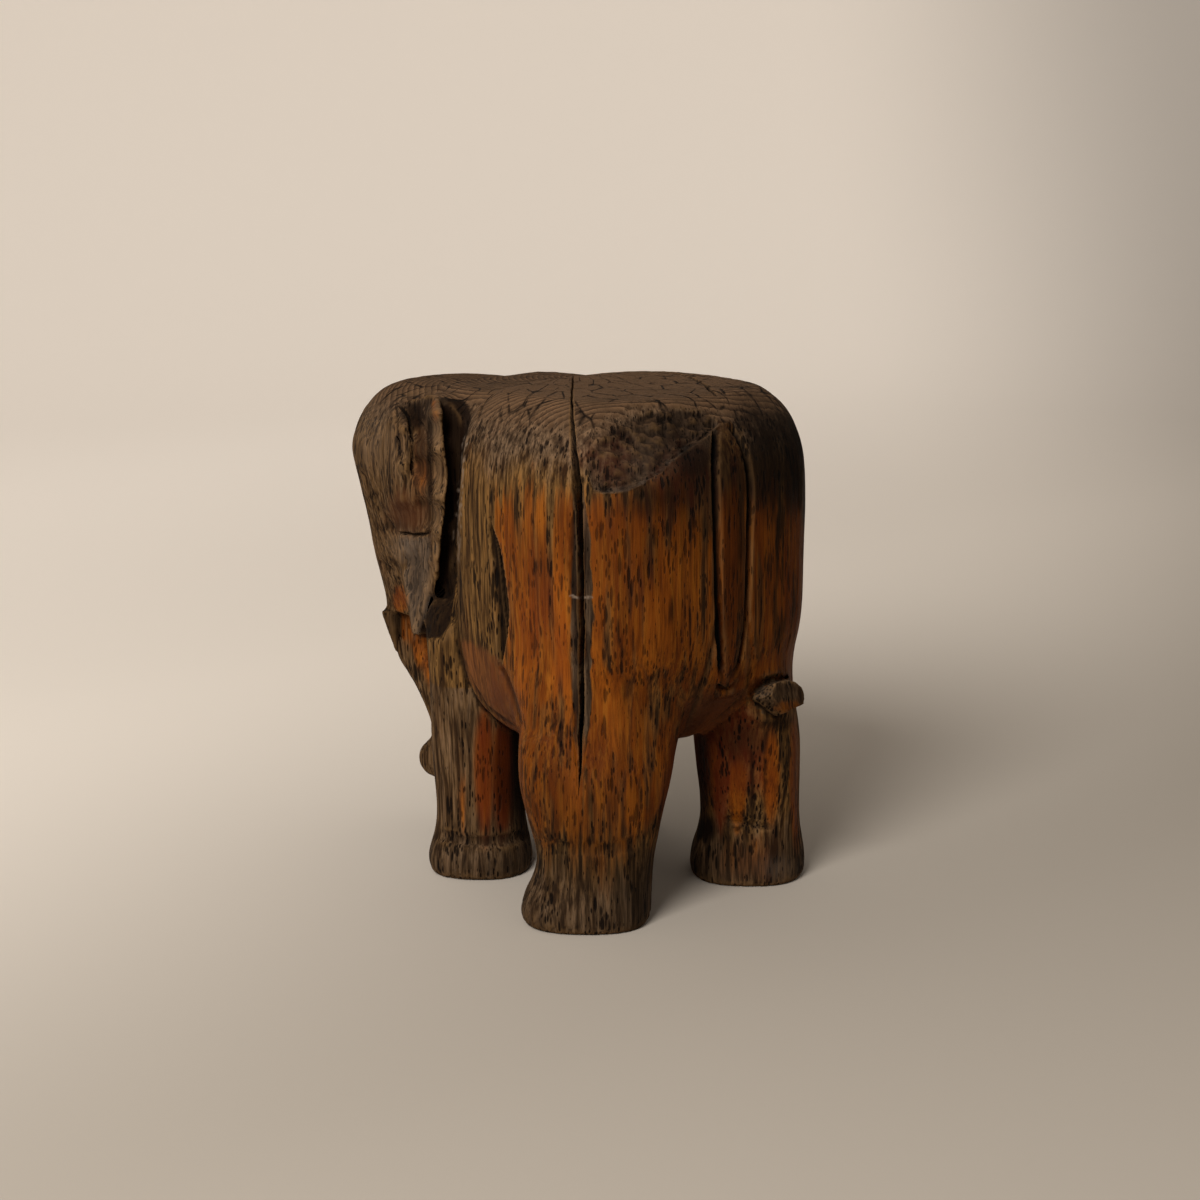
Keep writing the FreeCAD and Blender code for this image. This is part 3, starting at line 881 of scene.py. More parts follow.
lobe_edge = [(395, 536), (399, 560), (405.5, 588), (411, 615), (414, 638)]
lobe_top = [(395, 537), (405, 536), (418, 538)]
ear_arch = [(399, 399), (411, 394), (427, 391), (439, 395), (444, 402)]
shade_outline = [(455, 470), (490, 480), (490, 520), (491, 560), (496, 620), (500, 662), (470, 640),
                 (455, 600)]
crescent_outline = [(462, 642), (478, 650), (498, 662), (516, 700), (522, 732), (500, 718), (472, 680)]
far_rim_outline = [(752, 425), (790, 438), (802, 470), (800, 490), (770, 490), (752, 480)]
web_line = [(466, 440), (463, 470), (460.5, 500), (457.5, 530), (456, 560)]
strand_line = [(570, 595), (578, 598), (592, 597)]


def put_patches(fine, table, spots, where):
    for mark, rows in table.items():
        for strength, x, y, half_width, half_height, soft in rows:
            spot = patch(spots, (x, y), (half_width, half_height), soft)
            fine[mark] = strongest(fine[mark], strength * spot * where)


def all_patches(site, fine):
    """The listed patches, each moved along the grain by the noise."""
    left_nodes = site.body | site.left_leg | site.tail
    put_patches(fine, front_leg_wear, site.spots + site.bend * 0.5, site.front_legs * site.turned)
    put_patches(fine, right_leg_wear, site.true_spots + site.bend * 0.5, site.right_leg * site.shown)
    put_patches(fine, head_wear, site.spots + site.bend * 0.3, site.face * site.turned)
    put_patches(fine, tuft_wear, site.true_spots, site.tuft * site.shown)
    put_patches(fine, left_wear, site.spots + site.bend * np.array([0.3, 0.4]),
                site.turned * site.on_left * left_nodes)


def bare_wood(site, marks):
    """Rubbed wood on flanks and hind legs, not over the shoulder, by the seat's edge or on the feet."""
    slow, streaky, x, z = site.slow, site.streaky, site.x, site.z
    bare = step(x + 14 * slow, -12, 22) * (1 - step(z + 18 * slow + 26 * streaky, 305, 378))
    bare *= step(z + 30 * slow + 44 * streaky, 22, 128) * (site.body | site.hind_legs | site.tail)
    bare *= 1 - 0.85 * inside(site.spots + site.bend * 0.3, shade_outline, 9) * site.body
    trunk = site.trunk * step(z, 78, 100) * (1 - step(z + 20 * slow, 185, 235))
    trunk *= step(site.normals[:, 0], -0.1, 0.5)
    bare = strongest(bare, 0.75 * trunk, 0.55 * site.under) * np.where(site.right_leg, 0.25, 1)
    bare *= 1 - strongest(marks["margin"] * step(streaky, -0.55, -0.1), marks["bruise"], marks["wedge"])
    bare *= 1 - 0.5 * step(0.6 * slow + streaky, 0.1, 0.45)
    far_side = site.right_leg * (1 - step(site.inward, -0.6, -0.1)) * step(z, 60, 110) * (x < 90)
    return strongest(bare, 0.7 * far_side * step(streaky, -0.2, 0.2))


def grey_wood(site, marks):
    """Dried wood at the top, the feet, the front legs and the head."""
    high = 0.75 * step(site.z + 12 * site.slow, 345, 395) * (site.body | site.face)
    low = 0.6 * (1 - step(site.z + 14 * site.slow + 20 * site.streaky, 20, 95))
    nodes = (0.5 * site.front_legs, 0.45 * site.face, 0.6 * site.tuft, 0.15 * site.right_leg)
    return strongest(high, low, *nodes, marks["bruise"], 0.85 * marks["margin"], site.lobe_face)


def dark_wood(site, marks):
    """Stains, and painted shade inside the slot behind the ear, under the lobes, in the shoulder's wedge and
    under the tail's end.
    """
    slow, streaky, x, z = site.slow, site.streaky, site.x, site.z
    right_rump = site.body * (x > 60) * (site.y > 0)
    far_rim = inside(site.true_spots + 1.6 * site.bend, far_rim_outline, 50) * right_rump
    rump = right_rump * step(z, 170, 260) * step(site.y, 25, 45) * step(x, 90, 120)
    top_rear = step(x, 118, 150) * (1 - step(z + 20 * slow, 330, 400)) * step(z + 25 * slow, 255, 345)
    slot = inside(site.spots, slot_outline, 2.5) * (x < -30) * (site.width > 60) * (x > -160) * (z > 200)
    # Painted shade in the recess under the lobe.
    below_lobe = inside(site.spots, under_lobe_outline, 4) * site.turned * (x < -30)
    bruise = marks["bruise"] * (0.05 + 0.5 * step(site.spots[:, 0], 612, 668)) * (1 - 0.9 * marks["lip"])
    return strongest(
        0.85 * far_rim * (1 - 0.5 * step(streaky, -0.1, 0.5)),
        0.7 * rump * step(streaky + 0.3 * slow, 0.0, 0.35),
        0.5 * site.tail * step(streaky, -0.1, 0.4),
        0.45 * top_rear * (site.body | site.tail),
        slot, 0.95 * below_lobe, bruise,
        marks["margin"] * (0.35 + 0.45 * step(-streaky, -0.25, 0.35)),
        0.8 * marks["wedge"], 0.65 * site.tusks, 0.12 * site.lobe_face, marks["shade"], 0.42 * site.tuft)


def deeper_tone_and_shade(site, marks):
    """How much darker the wood is as a whole, by place: partly painted shade towards the rear and the right
    side, where the wood turns from the light, and partly the wood's own tone.
    """
    x, y, z = site.x, site.y, site.z
    on_top = step(site.normals[:, 2], 0.4, 0.8) * step(z, 370, 400)
    left = site.on_left * (site.body | site.left_leg)
    return strongest(
        # Painted shade: the rear low down, the right of the rump and the left flank towards the tail.
        0.26 * step(x, 112, 150) * step(z, 60, 140) * (site.body | site.left_leg | site.tail),
        0.36 * step(y, 15, 40) * step(x, 90, 130) * step(z, 195, 290),
        0.52 * marks["bruise"],
        0.30 * left * (1 - step(z, 120, 210)) * (x > 0),
        (0.4 + 0.22 * step(z, 190, 250)) * site.tail,
        0.28 * step(site.spots[:, 0], 630, 690) * left,
        0.25 * (1 - step(z, 20, 70)),
        on_top * (0.12 + 0.18 * step(x, 40, 110) + 0.12 * (1 - step(x, -110, -40))))


def dust_and_highlights_on(site, marks):
    """Pale dust on the lobe and the tuft, cobweb by the ear and in the crack, and painted highlights on the
    bruise's lip and along the rims of ear and lobe.
    """
    rough = step(roughness_at(site.points, (7, 7, 5), 13, 2), -0.5, 0.4)
    fuzz = step(roughness_at(site.points, (3.5, 3.5, 3.5), 14, 2), -0.2, 0.35)
    web = line_mask(site.spots, web_line, 1.2, 5.5) * site.turned * site.body * site.on_left
    return strongest(
        # Painted highlight on the bruise's lip, and dust on the lobe's face.
        0.3 * marks["lip"] * rough + 0.2 * site.lobe_face,
        0.1 * site.tuft * step(site.normals[:, 2], 0.1, 0.8),
        0.95 * fuzz * web * (site.x < -20) * (site.width > 60),
        0.8 * line_mask(site.spots, strand_line, 0.5, 1.6) * site.body * site.on_left,
        0.12 * site.strip)


def strip_of(site):
    """The rims of ear and lobe: the ear's rim worn and with a painted highlight, and painted highlights along
    the lobe's edges and the arch over the hollow.
    """
    strip = line_mask(site.spots, rim_strip, 2.5, 5) * site.ears
    for route, wide, strength in ((lobe_edge, 3, 0.7), (lobe_top, 4, 0.6), (ear_arch, 4.5, 0.6)):
        strip = strongest(strip, strength * line_mask(site.spots, route, wide * 0.4, wide) * site.face)
    return strip * site.turned


def pale_edges_and_highlights(site):
    """Pale edges: every sharp one and the tail's sides rubbed pale, the rims of ear and lobe worn and with
    painted highlights, and a painted highlight along the thigh's ridge.
    """
    ridge_gap, share = along(site.spots, rear_line)
    ridge_highlight = (1 - step(ridge_gap, 0.8, 2.4)) * fade_ends(share, 0.2, 0.2)
    tail_sides = 0.0
    for route, shift in ((tail_left, 5), (tail_right, -5)):
        beside = line_mask(site.true_spots - np.array([shift, 0]), route, 0.8, 2.6)
        tail_sides = strongest(tail_sides, beside * (site.tail | site.body) * (site.x > 60))
    return strongest(
        step(site.curve, 0.25, 1.3),
        0.7 * site.strip * (0.6 + 0.4 * step(site.streaky, -0.3, 0.2)),
        0.7 * ridge_highlight * site.turned * (site.body | site.left_leg),
        0.6 * tail_sides)


def look_for_wear(blank):
    site = look_at(blank)
    points = site.points
    eased = smoothed(points, edges_of(blank), 10)
    site.curve = ((points - eased) * site.normals).sum(axis=1)
    site.inward = -site.normals[:, 1] * np.sign(site.y + 1e-6)
    site.slow = roughness_at(points, (38, 38, 95), 11, 3)
    site.streaky = roughness_at(points, (7, 7, 110), 12, 2)
    site.bend = np.stack([2.2 * site.slow, 9 * site.slow + 14 * site.streaky], axis=1)
    site.under = step(-site.normals[:, 2], 0.2, 0.7) * site.body * (site.z < 260)
    site.crescent = inside(site.spots + site.bend * 0.3, crescent_outline, 7) * site.body * site.turned
    site.lobe_face = lobe_face_of(site) * (1 - step(site.spots[:, 0], 428, 434))
    site.strip = strip_of(site)
    return site


def wear(blank, marks):
    site = look_for_wear(blank)
    slow, streaky = site.slow, site.streaky
    fine = {name: np.zeros(len(site.points)) for name in wear_names + ("olive",)}
    all_patches(site, fine)
    bare = strongest(fine["bare"], bare_wood(site, marks))
    fine["grey"] = grey_wood(site, marks)
    fine["dark"] = strongest(fine["dark"], dark_wood(site, marks))
    fine["tone_and_shade"] = strongest(fine["tone_and_shade"], deeper_tone_and_shade(site, marks)) + 0.2 * step(slow, -0.1, 0.5) * bare
    inner_leg = step(site.inward, 0.0, 0.7) * site.hind_legs * step(site.z, 70, 100)
    fine["red"] = strongest(fine["red"], 0.7 * inner_leg, 0.35 * site.tail, 0.5 * site.under,
                            0.3 * step(slow + 0.5 * streaky, 0.0, 0.4) * bare)
    fine["smooth"] = strongest(fine["smooth"], site.under, 0.85 * site.crescent, 0.1 * marks["bruise"])
    fine["bare"] = strongest(bare, 0.45 * site.crescent) * (1 - 0.6 * fine.pop("olive"))
    fine["dust_and_highlight"] = strongest(fine["dust_and_highlight"], dust_and_highlights_on(site, marks))
    # Pale edges: wear, with painted highlights on the rims and on the thigh's ridge.
    fine["edge"] = pale_edges_and_highlights(site) * (1 - 0.6 * fine["dark"])
    # Painted shade in the hollows, darker the more concave the skin is.
    fine["cavity_shade"] = step(-site.curve, 0.25, 1.6)
    fine["ends"] = step(site.normals[:, 2], 0.35, 0.85) * step(site.z, 345, 405)
    # Painted shade in cracks, grooves and creases.
    fine["crack_shade"] = marks["crack_shade"]
    for name, values in fine.items():
        paint(blank, name, np.asarray(values, float))


# One object for each node

cap_depth = 0.035


def part_into_nodes(blank):
    """Splits the skin along the node edges, closes the cuts and keeps the shading of the whole."""
    layer = blank.data.attributes.new("carved_normal", 'FLOAT_VECTOR', 'POINT')
    layer.data.foreach_set("vector", normals_of(blank).astype(np.float32).ravel())
    with editing(blank):
        bpy.ops.mesh.separate(type='MATERIAL')
    pieces = [piece for piece in bpy.context.selected_objects if piece.type == 'MESH']
    done = {}
    for piece in pieces:
        node = node_names[piece.data.attributes["node_index"].data[0].value]
        close_cuts(piece)
        piece.name = "carved_" + node
        piece.data.name = piece.name
        done[node] = piece
    return done


def dent_caps(piece, first):
    """Draws the middle of each cap into the wood, so that no cap stands before the carved face."""
    mesh = piece.data
    caps = [list(polygon.vertices) for polygon in mesh.polygons[first:]]
    carved = mesh.attributes["carved_normal"].data
    outwards = [sum((Vector(carved[i].vector) for i in cap), Vector()) / len(cap) for cap in caps]
    chosen = np.zeros(len(mesh.polygons), bool)
    chosen[first:] = True
    select_faces(piece, chosen)
    known = len(mesh.vertices)
    bpy.ops.object.mode_set(mode='EDIT')
    bpy.ops.mesh.poke()
    bpy.ops.object.mode_set(mode='OBJECT')
    for index, outward in zip(range(known, len(mesh.vertices)), outwards):
        mesh.vertices[index].co -= outward * cap_depth


def close_cuts(piece):
    mesh = piece.data
    before = len(mesh.polygons)
    with editing(piece):
        bpy.ops.mesh.fill_holes(sides=0)
    dent_caps(piece, before)
    carved = array_of(mesh.attributes["carved_normal"].data, "vector", 3)
    mesh.normals_split_custom_set_from_vertices(carved.tolist())
    mesh.attributes.remove(mesh.attributes["carved_normal"])
    mesh.attributes.remove(mesh.attributes["node_index"])


# Shader nodes

def add(tree, kind, options=None, **inputs):
    """A shader node with its options set and its inputs fed; Word_Word names the input "Word Word"."""
    node = tree.nodes.new("ShaderNode" + kind)
    for name, value in (options or {}).items():
        setattr(node, name, value)
    for name, value in inputs.items():
        feed(tree, node.inputs[name.replace("_", " ")], value)
    return node


def feed(tree, socket, value):
    if isinstance(value, bpy.types.NodeSocket):
        tree.links.new(value, socket)
    else:
        socket.default_value = value


def maths(tree, operation, first, second=0.0, clamp=False):
    node = add(tree, "Math", {"operation": operation, "use_clamp": clamp})
    feed(tree, node.inputs[0], first)
    feed(tree, node.inputs[1], second)
    return node.outputs[0]


def times(tree, *values):
    return reduce(lambda first, second: maths(tree, 'MULTIPLY', first, second), values)


def plus(tree, first, second, clamp=False):
    return maths(tree, 'ADD', first, second, clamp)


def minus(tree, first, second):
    return maths(tree, 'SUBTRACT', first, second)


def rest(tree, value, share):
    """What a mask leaves of 1 when it takes away this share."""
    return minus(tree, 1.0, times(tree, value, share))


def blend(tree, share, first, second, mode='MIX'):
    node = add(tree, "Mix", {"data_type": 'RGBA', "blend_type": mode, "clamp_factor": True})
    feed(tree, node.inputs[0], share)
    feed(tree, node.inputs[6], first)
    feed(tree, node.inputs[7], second)
    return node.outputs[2]


def between(tree, value, low, high, to_low=0.0, to_high=1.0):
    node = add(tree, "MapRange", {"interpolation_type": 'SMOOTHSTEP'}, Value=value, From_Min=low,
               From_Max=high, To_Min=to_low, To_Max=to_high)
    return node.outputs["Result"]


def stretched(tree, place, scale, offset=(0, 0, 0)):
    mapping = add(tree, "Mapping", {"vector_type": 'POINT'}, Vector=place, Scale=scale, Location=offset)
    return mapping.outputs["Vector"]


def noise_over(tree, place, scale, detail, offset=(0, 0, 0), **more):
    spread = stretched(tree, place, scale, offset)
    lumps = add(tree, "TexNoise", Vector=spread, Scale=1.0, Detail=detail, **more)
    return lumps.outputs["Fac"]


def new_group(name, takes, gives):
    """A node group from lists of socket names by kind, with its inner inputs and outputs."""
    tree = bpy.data.node_groups.new(name, "ShaderNodeTree")
    for in_out, sockets in (('INPUT', takes), ('OUTPUT', gives)):
        for kind, labels in sockets.items():
            for label in labels:
                tree.interface.new_socket(label, in_out=in_out, socket_type="NodeSocket" + kind)
    return tree, tree.nodes.new("NodeGroupInput").outputs, tree.nodes.new("NodeGroupOutput").inputs


def use_group(tree, group, place):
    node = tree.nodes.new("ShaderNodeGroup")
    node.node_tree = group
    feed(tree, node.inputs["Vector"], place)
    return node


# Materials

wear_names = ("bare", "grey", "dark", "red", "smooth", "dust_and_highlight", "ends", "tone_and_shade", "crack_shade", "edge", "cavity_shade")
# Colours as a picture editor names them, from 0 to 255.
# The crack and cavity colours are painted shade, the stain colour is stains and painted shade, and the dust
# and edge colours are partly painted highlight.
colours = {
    "bare deep": (88, 40, 5), "bare light": (136, 72, 14), "bare streak": (150, 92, 26),
    "bare fibre": (50, 21, 3), "worn deep": (46, 29, 13), "worn light": (122, 89, 48),
    "worn fibre": (32, 20, 11), "dried deep": (46, 35, 26), "dried light": (110, 88, 67),
    "dried fibre": (30, 22, 16), "red": (96, 34, 8), "smooth": (86, 52, 31), "seat early": (124, 94, 68),
    "seat late": (42, 28, 19), "seat broad": (96, 73, 52), "stain_and_shade": (19, 9, 4), "cavity_shade": (18, 10, 5),
    "edge": (126, 94, 58), "pore": (10, 5, 3), "check": (14, 9, 6), "dust_and_highlight": (122, 106, 92),
    "crack_shade": (5, 4, 4)}
pore_sizes = ((420, 95, (0, 0, 0)), (250, 40, (5, 2, 7)))
pith = (0.029, -0.048, 0)
bump_depth = 0.0011


def tint(name):
    """One of the colours as the shader's linear red, green and blue."""
    shares = (value / 255 for value in colours[name])
    return tuple(((v + 0.055) / 1.055) ** 2.4 if v > 10 / 255 else v / 12.92 for v in shares) + (1.0,)


def pores_in(tree, place, size):
    """Open pores as stretched cells, over two third of them left open, in a fine and a coarse set."""
    sets = []
    inner = times(tree, size, 0.55)
    for scale, run, offset in pore_sizes:
        spread = stretched(tree, place, (scale, scale, run), offset)
        cells = add(tree, "TexVoronoi", {"feature": 'F1'}, Vector=spread, Scale=1.0)
        hole = between(tree, cells.outputs["Distance"], inner, size, 1.0, 0.0)
        keep = maths(tree, 'GREATER_THAN', cells.outputs["Color"], 0.35)
        sets.append(times(tree, hole, keep))
    return maths(tree, 'MAXIMUM', *sets)


def fibre_group():
    """Fibres, open pores and bands that run up the log. Seen on the log's end they are specks."""
    tree, takes, gives = new_group(
        "log_fibre", {"Vector": ["Vector"]}, {"Float": ["Fine", "Pores", "Ridges", "Broad"]})
    sway = add(tree, "TexNoise", Vector=stretched(tree, takes["Vector"], (9, 9, 5)), Scale=1.0, Detail=2.0)
    bent = add(tree, "VectorMath", {"operation": 'SCALE'}, Vector=sway.outputs["Color"], Scale=0.006)
    moved = add(tree, "VectorMath", {"operation": 'ADD'})
    feed(tree, moved.inputs[0], takes["Vector"])
    feed(tree, moved.inputs[1], bent.outputs[0])
    place = moved.outputs[0]
    feed(tree, gives["Fine"], noise_over(tree, place, (620, 620, 34), 3.0, Roughness=0.65))
    feed(tree, gives["Ridges"], noise_over(tree, place, (230, 230, 13), 3.0, Roughness=0.6))
    feed(tree, gives["Broad"], noise_over(tree, place, (46, 46, 9), 3.0))
    patchy = noise_over(tree, place, (60, 60, 22), 2.0, (3, 1, 2))
    feed(tree, gives["Pores"], pores_in(tree, place, between(tree, patchy, 0.3, 0.65, 0.1, 0.46)))
    return tree


def end_grain_group():
    """Growth rings round the pith and drying checks that run out from it."""
    tree, takes, gives = new_group("end_grain", {"Vector": ["Vector"]}, {"Float": ["Rings", "Checks"]})
    around = stretched(tree, takes["Vector"], (1, 1, 0.05), pith)
    rings = add(tree, "TexWave", {"wave_type": 'RINGS', "rings_direction": 'Z', "wave_profile": 'SAW'},
                Vector=around, Scale=62.0, Distortion=4.5, Detail=4.0, Detail_Scale=0.5,
                Detail_Roughness=0.7)
    parts = add(tree, "SeparateXYZ", Vector=around)
    angle = maths(tree, 'ARCTAN2', parts.outputs["Y"], parts.outputs["X"])
    distance = add(tree, "VectorMath", {"operation": 'LENGTH'}, Vector=around).outputs["Value"]
    polar = add(tree, "CombineXYZ", X=times(tree, angle, 9.0), Y=times(tree, distance, 26.0)).outputs[0]
    split = add(tree, "TexVoronoi", {"feature": 'DISTANCE_TO_EDGE'}, Vector=polar, Scale=1.0, Randomness=0.9)
    wander = add(tree, "TexNoise", Vector=polar, Scale=1.6, Detail=3.0)
    line = between(tree, split.outputs["Distance"], 0.0, 0.05, 1.0, 0.0)
    some = between(tree, wander.outputs["Fac"], 0.42, 0.54)
    feed(tree, gives["Rings"], rings.outputs["Fac"])
    feed(tree, gives["Checks"], times(tree, line, some))
    return tree


def lean(tree, mask, by, width, low=0.15, high=0.85):
    """The mask with its edge broken up along the grain."""
    moved = plus(tree, mask, times(tree, minus(tree, by, 0.5), width))
    return between(tree, moved, low, high)


def wood_tones(tree, kind, bands, fibres):
    """Deep and light wood of one kind in bands, with dark fibres."""
    tones = blend(tree, bands, tint(kind + " deep"), tint(kind + " light"))
    if kind == "bare":
        streaks, fibres = fibres
        tones = blend(tree, streaks, tones, tint("bare streak"))
    return blend(tree, fibres, tones, tint(kind + " fibre"))


def flank_colour(tree, takes, grain, bare):
    """Bare, worn and dried wood, with the reddened and the smooth places."""
    fine, ridges, broad = grain["Fine"], grain["Ridges"], grain["Broad"]
    streaks = between(tree, ridges, 0.45, 0.7, 0, 0.5)
    rubbed = wood_tones(tree, "bare", between(tree, broad, 0.3, 0.7),
                        (streaks, between(tree, fine, 0.42, 0.74, 0, 0.62)))
    worn = wood_tones(tree, "worn", between(tree, ridges, 0.35, 0.66),
                      between(tree, fine, 0.38, 0.68, 0, 0.75))
    dried = wood_tones(tree, "dried", between(tree, ridges, 0.33, 0.68),
                       between(tree, fine, 0.38, 0.68, 0, 0.7))
    colour = blend(tree, lean(tree, takes["grey"], ridges, 1.2), worn, dried)
    colour = blend(tree, bare, colour, rubbed)
    red = times(tree, lean(tree, takes["red"], broad, 0.8, 0.0, 1.0), 0.75)
    colour = blend(tree, red, colour, tint("red"))
    return blend(tree, times(tree, takes["smooth"], 0.6), colour, tint("smooth"))


def seat_colour(tree, rings, broad):
    colour = blend(tree, rings, tint("seat early"), tint("seat late"))
    return blend(tree, between(tree, broad, 0.35, 0.7, 0, 0.5), colour, tint("seat broad"))


def aged_wood_group(fibre, ends):
    """Old carved wood: bare where it is rubbed, grey and open where it has dried, with painted shade black in
    the cracks and darker in the hollows, and painted highlights on rims and edges.
    """
    tree, takes, gives = new_group("aged_wood", {"Vector": ["Vector"], "Float": wear_names},
                                   {"Color": ["Color"], "Float": ["Roughness", "Height"]})
    grain = use_group(tree, fibre, takes["Vector"]).outputs
    top = use_group(tree, ends, takes["Vector"]).outputs
    fine, ridges, broad = grain["Fine"], grain["Ridges"], grain["Broad"]
    bare = lean(tree, takes["bare"], ridges, 1.5)
    depth = rest(tree, takes["smooth"], 0.85)
    pores = times(tree, grain["Pores"], depth, rest(tree, bare, 0.35), rest(tree, takes["ends"], 0.75))
    checks = times(tree, top["Checks"], takes["ends"])
    colour = flank_colour(tree, takes, grain, bare)
    colour = blend(tree, times(tree, takes["ends"], 0.85), colour, seat_colour(tree, top["Rings"], broad))
    stain_and_shade = lean(tree, takes["dark"], ridges, 0.6, 0.02, 0.98)
    dust_and_highlight = times(tree, takes["dust_and_highlight"], between(tree, fine, 0.3, 0.6, 0.3, 1.0))
    # Painted shade and highlight go into the colour here with the stains, dust, pores and checks.
    for name, mask, share in (("stain_and_shade", stain_and_shade, 0.94), ("cavity_shade", takes["cavity_shade"], 0.7),
                              ("edge", takes["edge"], 0.45), ("pore", pores, 0.9), ("check", checks, 1.0),
                              ("dust_and_highlight", dust_and_highlight, 1.0), ("crack_shade", takes["crack_shade"], 1.0)):
        colour = blend(tree, times(tree, mask, share), colour, tint(name))
    # Painted shade by place, with the wood's own tone, darkens the whole colour.
    shaded = minus(tree, 1.0, times(tree, takes["tone_and_shade"], between(tree, broad, 0.3, 0.7, 0.7, 1.25)))
    feed(tree, gives["Color"], blend(tree, 1.0, colour, shaded, 'MULTIPLY'))
    rough = minus(tree, 0.8, times(tree, bare, 0.3))
    feed(tree, gives["Roughness"], plus(tree, rough, times(tree, fine, 0.1), clamp=True))
    height = times(tree, plus(tree, times(tree, ridges, 0.7), times(tree, fine, 0.35)), depth)
    height = minus(tree, height, times(tree, pores, 0.8))
    height = minus(tree, height, times(tree, checks, 1.2))
    height = plus(tree, height, times(tree, top["Rings"], takes["ends"], 0.25))
    feed(tree, gives["Height"], height)
    return tree


def wood_material(name, group, bump, gloss):
    stuff = bpy.data.materials.new(name)
    stuff.use_nodes = True
    tree = stuff.node_tree
    shader = tree.nodes["Principled BSDF"]
    wood = use_group(tree, group, add(tree, "TexCoord").outputs["Object"])
    for mark in wear_names:
        feed(tree, wood.inputs[mark], add(tree, "Attribute", {"attribute_name": mark}).outputs["Fac"])
    feed(tree, shader.inputs["Base Color"], wood.outputs["Color"])
    feed(tree, shader.inputs["Roughness"], wood.outputs["Roughness"])
    shader.inputs["Specular IOR Level"].default_value = gloss
    relief = add(tree, "Bump", Height=wood.outputs["Height"], Strength=bump, Distance=bump_depth)
    feed(tree, shader.inputs["Normal"], relief.outputs["Normal"])
    return stuff


# Camera, light and floor

focal_length, sensor_width, farthest = 78, 36, 30
world_colour, world_strength = (1.0, 0.91, 0.8, 1), 0.40
key_place, key_target, key_size = (1.10, -2.15, 1.95), (0, 0, 0.2), 1.25
key_power, key_colour = 91, (1.0, 0.955, 0.89)
floor_reach, floor_rise, floor_sweep, floor_sides = 4.6, 2.4, 1.8, 96
# Painted light on the floor: darker paper near the stool, paler and glowing far off.
near_paper_shaded, far_paper_lit = (0.37, 0.332, 0.29, 1), (0.88, 0.815, 0.745, 1)
painted_paper_glow, painted_glow_strength = (1.0, 0.9, 0.8, 1), 0.23


def camera():
    data = bpy.data.cameras.new("camera")
    data.lens, data.sensor_width = focal_length, sensor_width
    data.clip_end = farthest
    lens = bpy.data.objects.new("camera", data)
    place = (eye + feet_middle) / mm_per_m
    rows = [(side_way[i], -down_way[i], -ahead[i], place[i]) for i in range(3)]
    lens.matrix_world = Matrix(rows + [(0, 0, 0, 1)])
    scene.collection.objects.link(lens)
    scene.camera = lens


def studio():
    """One soft key light and a plain world."""
    world = bpy.data.worlds.new("studio")
    scene.world = world
    world.use_nodes = True
    world.node_tree.nodes["Background"].inputs["Color"].default_value = world_colour
    world.node_tree.nodes["Background"].inputs["Strength"].default_value = world_strength
    data = bpy.data.lights.new("key", 'AREA')
    data.shape = 'DISK'
    data.size, data.energy, data.color = key_size, key_power, key_colour
    lamp = bpy.data.objects.new("key", data)
    lamp.location = key_place
    lamp.rotation_euler = (Vector(key_target) - Vector(key_place)).to_track_quat('-Z', 'Y').to_euler()
    scene.collection.objects.link(lamp)


def floor_mesh(mesh):
    """A round floor that sweeps up into a wall all the way round."""
    bend = floor_reach - floor_sweep
    profile = [(1.0, 0.0), (2.0, 0.0), (bend, 0.0)]
    profile += [(bend + floor_sweep * math.sin(a), floor_sweep - floor_sweep * math.cos(a))
                for a in np.radians(np.arange(7.5, 91, 7.5))]
    profile.append((floor_reach, floor_rise))
    turns = [2 * math.pi * i / floor_sides for i in range(floor_sides)]
    corners = [(0, 0, 0)] + [(r * math.cos(a), r * math.sin(a), z) for r, z in profile for a in turns]
    faces = [(0, 1 + i, 1 + (i + 1) % floor_sides) for i in range(floor_sides)]
    for ring in range(len(profile) - 1):
        first = 1 + ring * floor_sides
        for i in range(floor_sides):
            j = (i + 1) % floor_sides
            faces.append((first + i, first + floor_sides + i, first + floor_sides + j, first + j))
    mesh.clear_geometry()
    mesh.from_pydata(corners, [], faces)
    mesh.shade_smooth()


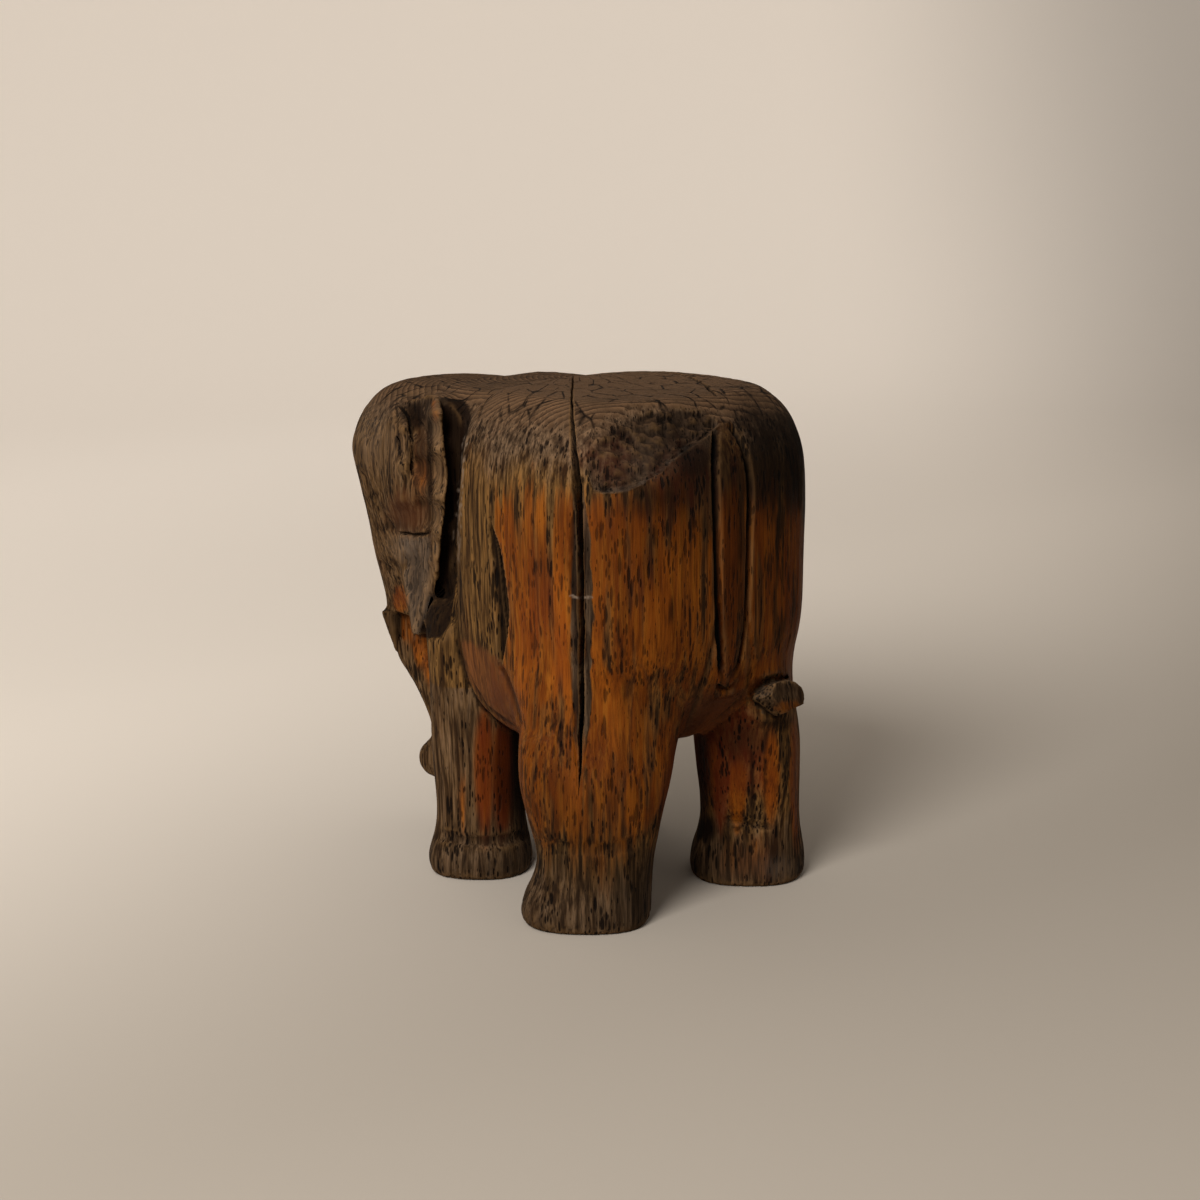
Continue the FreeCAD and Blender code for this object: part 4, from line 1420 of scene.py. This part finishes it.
def floor_paper_painted_light():
    """Paper with painted light: paler on the far side, where it also glows a little for the camera, and
    darker with less glow on the right.
    """
    stuff = bpy.data.materials.new("floor_paper_painted_light")
    stuff.use_nodes = True
    tree = stuff.node_tree
    shader = tree.nodes["Principled BSDF"]
    parts = add(tree, "SeparateXYZ", Vector=add(tree, "TexCoord").outputs["Object"])
    far = times(tree, parts.outputs["X"], -1.0)
    right = plus(tree, times(tree, parts.outputs["X"], 0.656), times(tree, parts.outputs["Y"], 0.755))
    painted_right_shade = between(tree, right, 0.5, 1.5, 1.0, 0.55)
    paper = blend(tree, between(tree, far, -0.35, 0.8), near_paper_shaded, far_paper_lit)
    feed(tree, shader.inputs["Base Color"], blend(tree, 1.0, paper, painted_right_shade, 'MULTIPLY'))
    shader.inputs["Emission Color"].default_value = painted_paper_glow
    glow = times(tree, between(tree, far, 0.3, 2.2, 0.0, painted_glow_strength), painted_right_shade)
    to_eye = add(tree, "LightPath").outputs["Is Camera Ray"]
    feed(tree, shader.inputs["Emission Strength"], times(tree, glow, to_eye))
    shader.inputs["Roughness"].default_value = 0.9
    return stuff


def backdrop():
    bpy.ops.object.select_all(action='DESELECT')
    bpy.ops.mesh.primitive_plane_add(size=1, location=(0, 0, 0))
    floor = bpy.context.object
    floor.name = "floor"
    floor_mesh(floor.data)
    floor.data.materials.append(floor_paper_painted_light())


# Making the stool

voxel = 0.0026
camera()
studio()
backdrop()
blank = joined_blank(voxel, fillers())
cut_slot(blank)
shape_head_sides(blank)
ease_hips(blank)
facet_tuft(blank)
even_out(blank, voxel, 2)
facet_tuft(blank)
refine(blank)
marks = carve(blank)
wear(blank, marks)
label_faces(blank)
pieces = part_into_nodes(blank)

wood = aged_wood_group(fibre_group(), end_grain_group())
finishes = {"flank_wood": wood_material("flank_wood", wood, 0.9, 0.07),
            "weathered_wood": wood_material("weathered_wood", wood, 1.0, 0.05)}
weathered = ("head", "trunk", "left_ear", "right_ear", "left_tusk", "right_tusk", "tail_tuft")
for node, piece in pieces.items():
    slot = "weathered_wood" if node in weathered else "flank_wood"
    piece.data.materials.clear()
    piece.data.materials.append(finishes[slot])
    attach(piece, "root")
    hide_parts(node)

scene.view_settings.view_transform = 'Standard'
